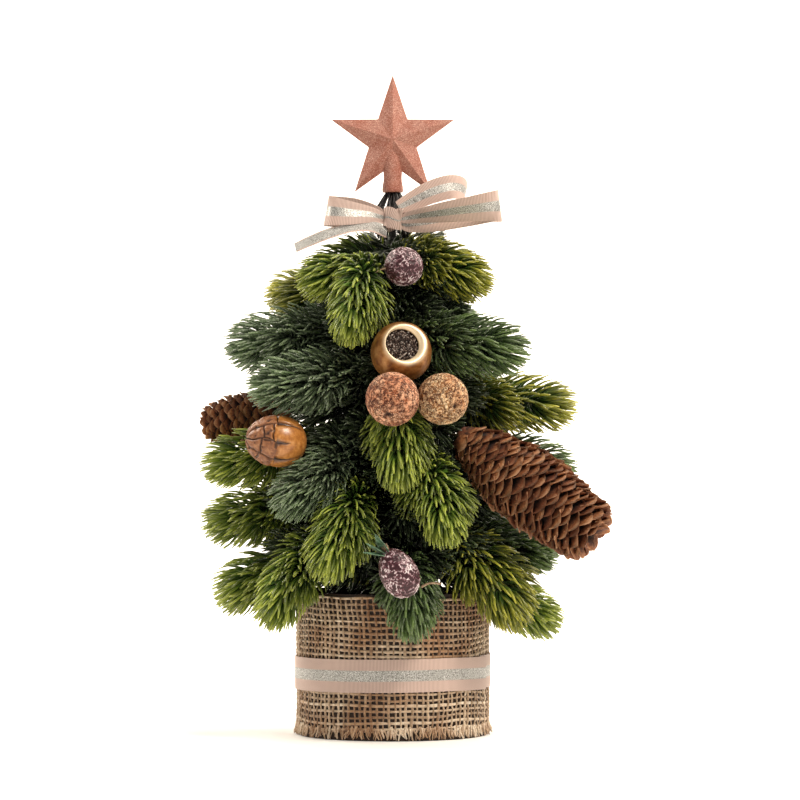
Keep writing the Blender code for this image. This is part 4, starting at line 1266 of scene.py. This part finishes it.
def make_bow():
    """The bow: two loops, two tails and a knot, tied from the same ribbon as the pot's."""
    knot = node_middle("bow_knot")[0]
    for name, (stations, stripe) in BOW.items():
        route, widths, across = (np.array(column, float) for column in zip(*stations))
        count = 90
        line = knot + curve_through(route, count) * MM
        size = curve_through(widths[:, None], count)[:, 0] * MM
        wide = curve_through(across, count)
        made, long, broad = ribbon(f"{name}_ribbon", name, line, wide, size, BOW_THICKNESS, stripe)
    turn = np.linspace(0, 2 * np.pi, 60)
    loop = np.stack([5.6 * np.cos(turn), 3.6 * np.sin(turn), 1.2 * np.sin(2 * turn)], -1) * MM
    lean = np.broadcast_to(np.array([0.1, 0.0, 1.0]), loop.shape)
    crush = (13.5 + 1.2 * np.cos(3 * turn)) * MM
    made, long, _ = ribbon("bow_knot_ribbon", "bow_knot", knot + loop, lean, crush, BOW_THICKNESS, 4.0)


# ---------------------------------------------------------------- pot dressing


THREAD_PITCH = 3.9 * MM
THREAD_WIDTH = 1.75 * MM
THREAD_FLATNESS = 0.5


def make_burlap():
    """The burlap: warp threads up the pot and weft threads round it, passing over and under each
    other, and a fringe of loose warp ends along the lower hem.

    A thread's distance from the pot's middle is a cosine of how many threads it has crossed, and
    neighbours are half a turn apart. Wandering noise bends the rows, as hand-pulled burlap is.
    """
    rng = np.random.default_rng(3)
    low, high = np.array(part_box("burlap_wrap"))
    outside = high[0]
    middle_radius = outside - 0.75 * MM
    columns = 2 * round(math.pi * middle_radius / THREAD_PITCH)
    hem = low[2] + 6.5 * MM
    rows = int((high[2] - hem) / THREAD_PITCH)
    pitch = (high[2] - hem - THREAD_WIDTH / 2) / rows

    def drape(turn, height):
        """Where the cloth is: a cylinder with slow ripples, whose rows rise and fall a little."""
        spot = np.stack([np.cos(turn) * 40 * MM, np.sin(turn) * 40 * MM, height], -1)
        ripple = 0.35 * MM * lattice_noise(spot, 22 * MM, 2)
        drift = 2.6 * MM * lattice_noise(spot, 30 * MM, 6) + 0.7 * MM * lattice_noise(spot, 7 * MM, 16)
        drift = drift * np.clip((height - low[2]) / (12 * MM), 0, 1)
        slant = 0.03 * lattice_noise(spot, 34 * MM, 9)
        return ripple, np.minimum(drift, high[2] - 0.4 * MM - height), slant

    over = 0.42 * MM
    steps = rows * 3 + 1
    index = np.arange(columns)
    height = np.broadcast_to(np.linspace(hem - 2 * MM, high[2] - 0.5 * MM, steps), (columns, steps))
    turn = np.broadcast_to((index / columns * 2 * np.pi)[:, None], height.shape)
    turn = turn + 0.011 * lattice_noise(np.stack([turn * 24, height * 110, 0 * turn], -1), 1.0, 4)
    ripple, drift, slant = drape(turn, height)
    crossed = (height - hem) / pitch
    r = middle_radius + ripple + over * np.cos(np.pi * (crossed + index[:, None]))
    angle = turn + slant
    warp = np.stack([r * np.sin(angle), -r * np.cos(angle), height + drift], -1)
    count = columns * 3
    level = np.arange(rows + 1)
    height = np.broadcast_to((hem + level * pitch)[:, None], (rows + 1, count))
    turn = np.broadcast_to(np.arange(count) / count * 2 * np.pi, height.shape)
    ripple, drift, slant = drape(turn, height)
    r = middle_radius + ripple - over * np.cos(np.pi * (turn / (2 * np.pi) * columns + level[:, None]))
    angle = turn + slant
    weft = np.stack([r * np.sin(angle), -r * np.cos(angle), height + drift], -1)
    sides = 6
    thick = rng.uniform(0.65, 1.35, columns)[:, None] * np.ones(steps)
    thick = thick * (1 + 0.3 * lattice_noise(warp / MM, 4.0, 11)) * THREAD_WIDTH / 2
    tangent_way = np.stack([-warp[..., 1], warp[..., 0], 0 * warp[..., 0]], -1)
    upright = tubes(warp, thick, sides, across=tangent_way, flat=THREAD_FLATNESS)
    thin = rng.uniform(0.7, 1.15, rows + 1)[:, None] * np.ones(count)
    thin = thin * (1 + 0.3 * lattice_noise(weft / MM, 4.0, 12)) * THREAD_WIDTH / 2
    around = tubes(weft, thin, sides, flat=THREAD_FLATNESS, closed=True)
    wefts = loft_faces(rows + 1, count, sides, first=upright[..., 0].size, closed=True)
    faces = loft_faces(columns, steps, sides) + wefts
    points = np.concatenate([upright.reshape(-1, 3), around.reshape(-1, 3)])
    up_along = np.tile(np.repeat(np.linspace(0, 3, steps), sides), columns)
    round_along = np.tile(np.repeat(np.linspace(0, 12, count), sides), rows + 1)
    along = np.concatenate([up_along, round_along])
    up_tint = np.repeat(rng.uniform(0, 0.55, columns), steps * sides)
    round_tint = np.repeat(rng.uniform(0.1, 0.7, rows + 1), count * sides)
    tint = np.concatenate([up_tint, round_tint])
    values = {"along": along, "tint": tint}
    cloth = surface("burlap_cloth", points, faces, JUTE, "tree", "burlap", "burlap_wrap", **values)
    ends = columns * 4
    index = np.arange(ends)
    clump = (index // 5 + 0.5) * 5
    foot = hem + rng.uniform(-1, 2.5, ends) * MM
    tip = low[2] - 0.5 * MM + rng.uniform(0, 2.2, ends) ** 1.5 * MM
    share = np.linspace(0, 1, 8)[None]
    gathered = index[:, None] + (clump - index)[:, None] * 0.6 * share
    turn = gathered / ends * 2 * np.pi + rng.normal(0, 0.02, (ends, 1)) * share
    turn = turn + 0.012 * np.sin(share * 3 + rng.uniform(0, 6, (ends, 1)))
    flare = rng.uniform(0.1, 2.4, (ends, 1)) * MM
    r = middle_radius + 0.2 * MM + flare * share**1.4
    height = foot[:, None] + (tip - foot)[:, None] * share
    strands = np.stack([r * np.sin(turn), -r * np.cos(turn), height], -1)
    size = rng.uniform(0.4, 1.0, (ends, 1)) * np.linspace(1, 0.55, 8)[None] * MM
    tint = rng.uniform(0.1, 0.9, ends)
    fringe = tube_piece("burlap_fringe", strands, size, 5, JUTE, "tree", "burlap", tint=tint)


def make_pot_ribbon():
    """The ribbon round the pot, pulled a little higher at its overlap, which lies at the right."""
    low, high = np.array(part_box("pot_ribbon"))
    radius = high[0] - 0.3 * MM
    lap = math.radians(62)
    turn = np.linspace(lap, lap + 2 * math.pi + 0.14, 400)
    part = (turn - turn[0]) / (turn[-1] - turn[0])
    r = radius + 0.02 * MM + 0.55 * MM * np.clip((part - 0.96) / 0.03, 0, 1)
    middle = (low[2] + high[2]) / 2
    height = middle + 0.9 * MM * np.sin(turn + 0.6) * np.clip((1 - part) / 0.1, 0, 1)
    line = np.stack([r * np.sin(turn), -r * np.cos(turn), height], -1)
    wide = np.broadcast_to(UP, line.shape)
    width = np.full(len(turn), high[2] - low[2] - 1.2 * MM)
    made, long, broad = ribbon("pot_ribbon_band", "pot_ribbon", line, wide, width, 0.35 * MM)


# ---------------------------------------------------------------- studio


def make_studio():
    """A pale sweep under and behind the tree, a soft key from the front right, and fill."""
    across = np.linspace(-4, 4, 9)
    back = np.array([-4.0, -2, 1.3, 2.2, 2.6, 2.9, 3.08, 3.2, 3.26, 3.3, 3.3, 3.3])
    rise = np.array([0, 0, 0, 0, 0.02, 0.09, 0.2, 0.38, 0.6, 0.9, 2.0, 3.5])
    points = np.stack(
        [
            np.broadcast_to(across[:, None], (9, 12)),
            np.broadcast_to(back[None], (9, 12)),
            np.broadcast_to(rise[None], (9, 12)),
        ],
        -1,
    )
    i = np.arange(8)[:, None] * 12
    j = np.arange(11)[None]
    quads = np.stack([i + j, i + j + 12, i + j + 13, i + j + 1], -1).reshape(-1, 4)
    paper = plain_finish("studio_paper", "#F4F3F1", "#FAFAF9", 60, Roughness=0.9, IOR=1.45)
    sweep = surface("studio_sweep", points.reshape(-1, 3), [quads], paper, None, None)
    lamps = (
        ("key", (1.0, -1.2, 1.8), 0.6, 40.0, (0, 0, 0.22)),
        ("fill", (-1.8, -1.4, 0.6), 1.4, 4.5, (0, 0, 0.22)),
        ("crown", (0.2, 0.3, 1.8), 1.0, 9.0, (0, 0, 0.22)),
        ("backdrop_left", (-1.6, 0.7, 1.5), 1.0, 60.0, (0, 2.0, 0.4)),
        ("backdrop_right", (1.6, 0.7, 1.5), 1.0, 60.0, (0, 2.0, 0.4)),
        ("far_left", (-1.6, 2.0, 1.5), 1.0, 45.0, (0, 3.3, 0.4)),
        ("far_right", (1.6, 2.0, 1.5), 1.0, 45.0, (0, 3.3, 0.4)),
    )
    for name, spot, size, power, aim in lamps:
        data = bpy.data.lights.new(name, "AREA")
        data.size = size
        data.energy = power
        data.color = linear("#FFF4E6")[:3]
        lamp = in_scene(name, data)
        lamp.location = spot
        look_at(lamp, aim)
    world = bpy.data.worlds.new("studio")
    bpy.context.scene.world = world
    world.use_nodes = True
    sky = world.node_tree.nodes["Background"]
    sky.inputs["Color"].default_value = linear("#FFFFFF")
    sky.inputs["Strength"].default_value = 0.26


def look_at(thing, aim):
    """Turns a lamp or camera so that its -Z points at aim."""
    way = Vector(aim) - thing.location
    thing.rotation_euler = way.to_track_quat("-Z", "Y").to_euler()


def make_camera():
    """A long lens, level, straight from the front: 2.74 m away, so that it takes in 0.55 m at the
    trunk."""
    data = bpy.data.cameras.new("front")
    data.lens = 180
    data.sensor_width = 36
    camera = in_scene("front", data)
    camera.location = (0.005, -2.74, 0.2284)
    camera.rotation_euler = (math.pi / 2, 0, 0)
    bpy.context.scene.camera = camera


def dress_cad_nodes():
    """The CAD nodes whose shape is right as it is get their finish."""
    for name, finish in CAD_FINISHES.items():
        repaint(nodes[name], finish)
    for name, piece in nodes.items():
        if name.endswith("_wire"):
            repaint(piece, PICK)


def repaint(piece, finish):
    """One finish all over a CAD node."""
    piece.data.materials.clear()
    piece.data.materials.append(finish)


make_camera()
make_studio()
dress_cad_nodes()
make_burlap()
make_pot_ribbon()
make_branches()
make_inner_sprigs()
make_cone("large_cone", 300, 18 * MM, (0.13, 0.86), 6 * MM, 1.9, 51)
make_cone("small_cone", 190, 11 * MM, (0.22, 0.8), 0, 0.6, 52)
make_cork_ball("cork_ball_left", RED_CORK, (-0.15, -0.78, -0.6), (1, 1, 1), 61)
make_cork_ball("cork_ball_right", TAN_CORK, (0.5, -0.8, -0.3), (1.02, 1, 1), 71)
make_gold_pod()
make_nut()
make_berries()
make_star()
make_socket()
make_top_stems()
make_bow()

bpy.context.scene.view_settings.view_transform = "Standard"
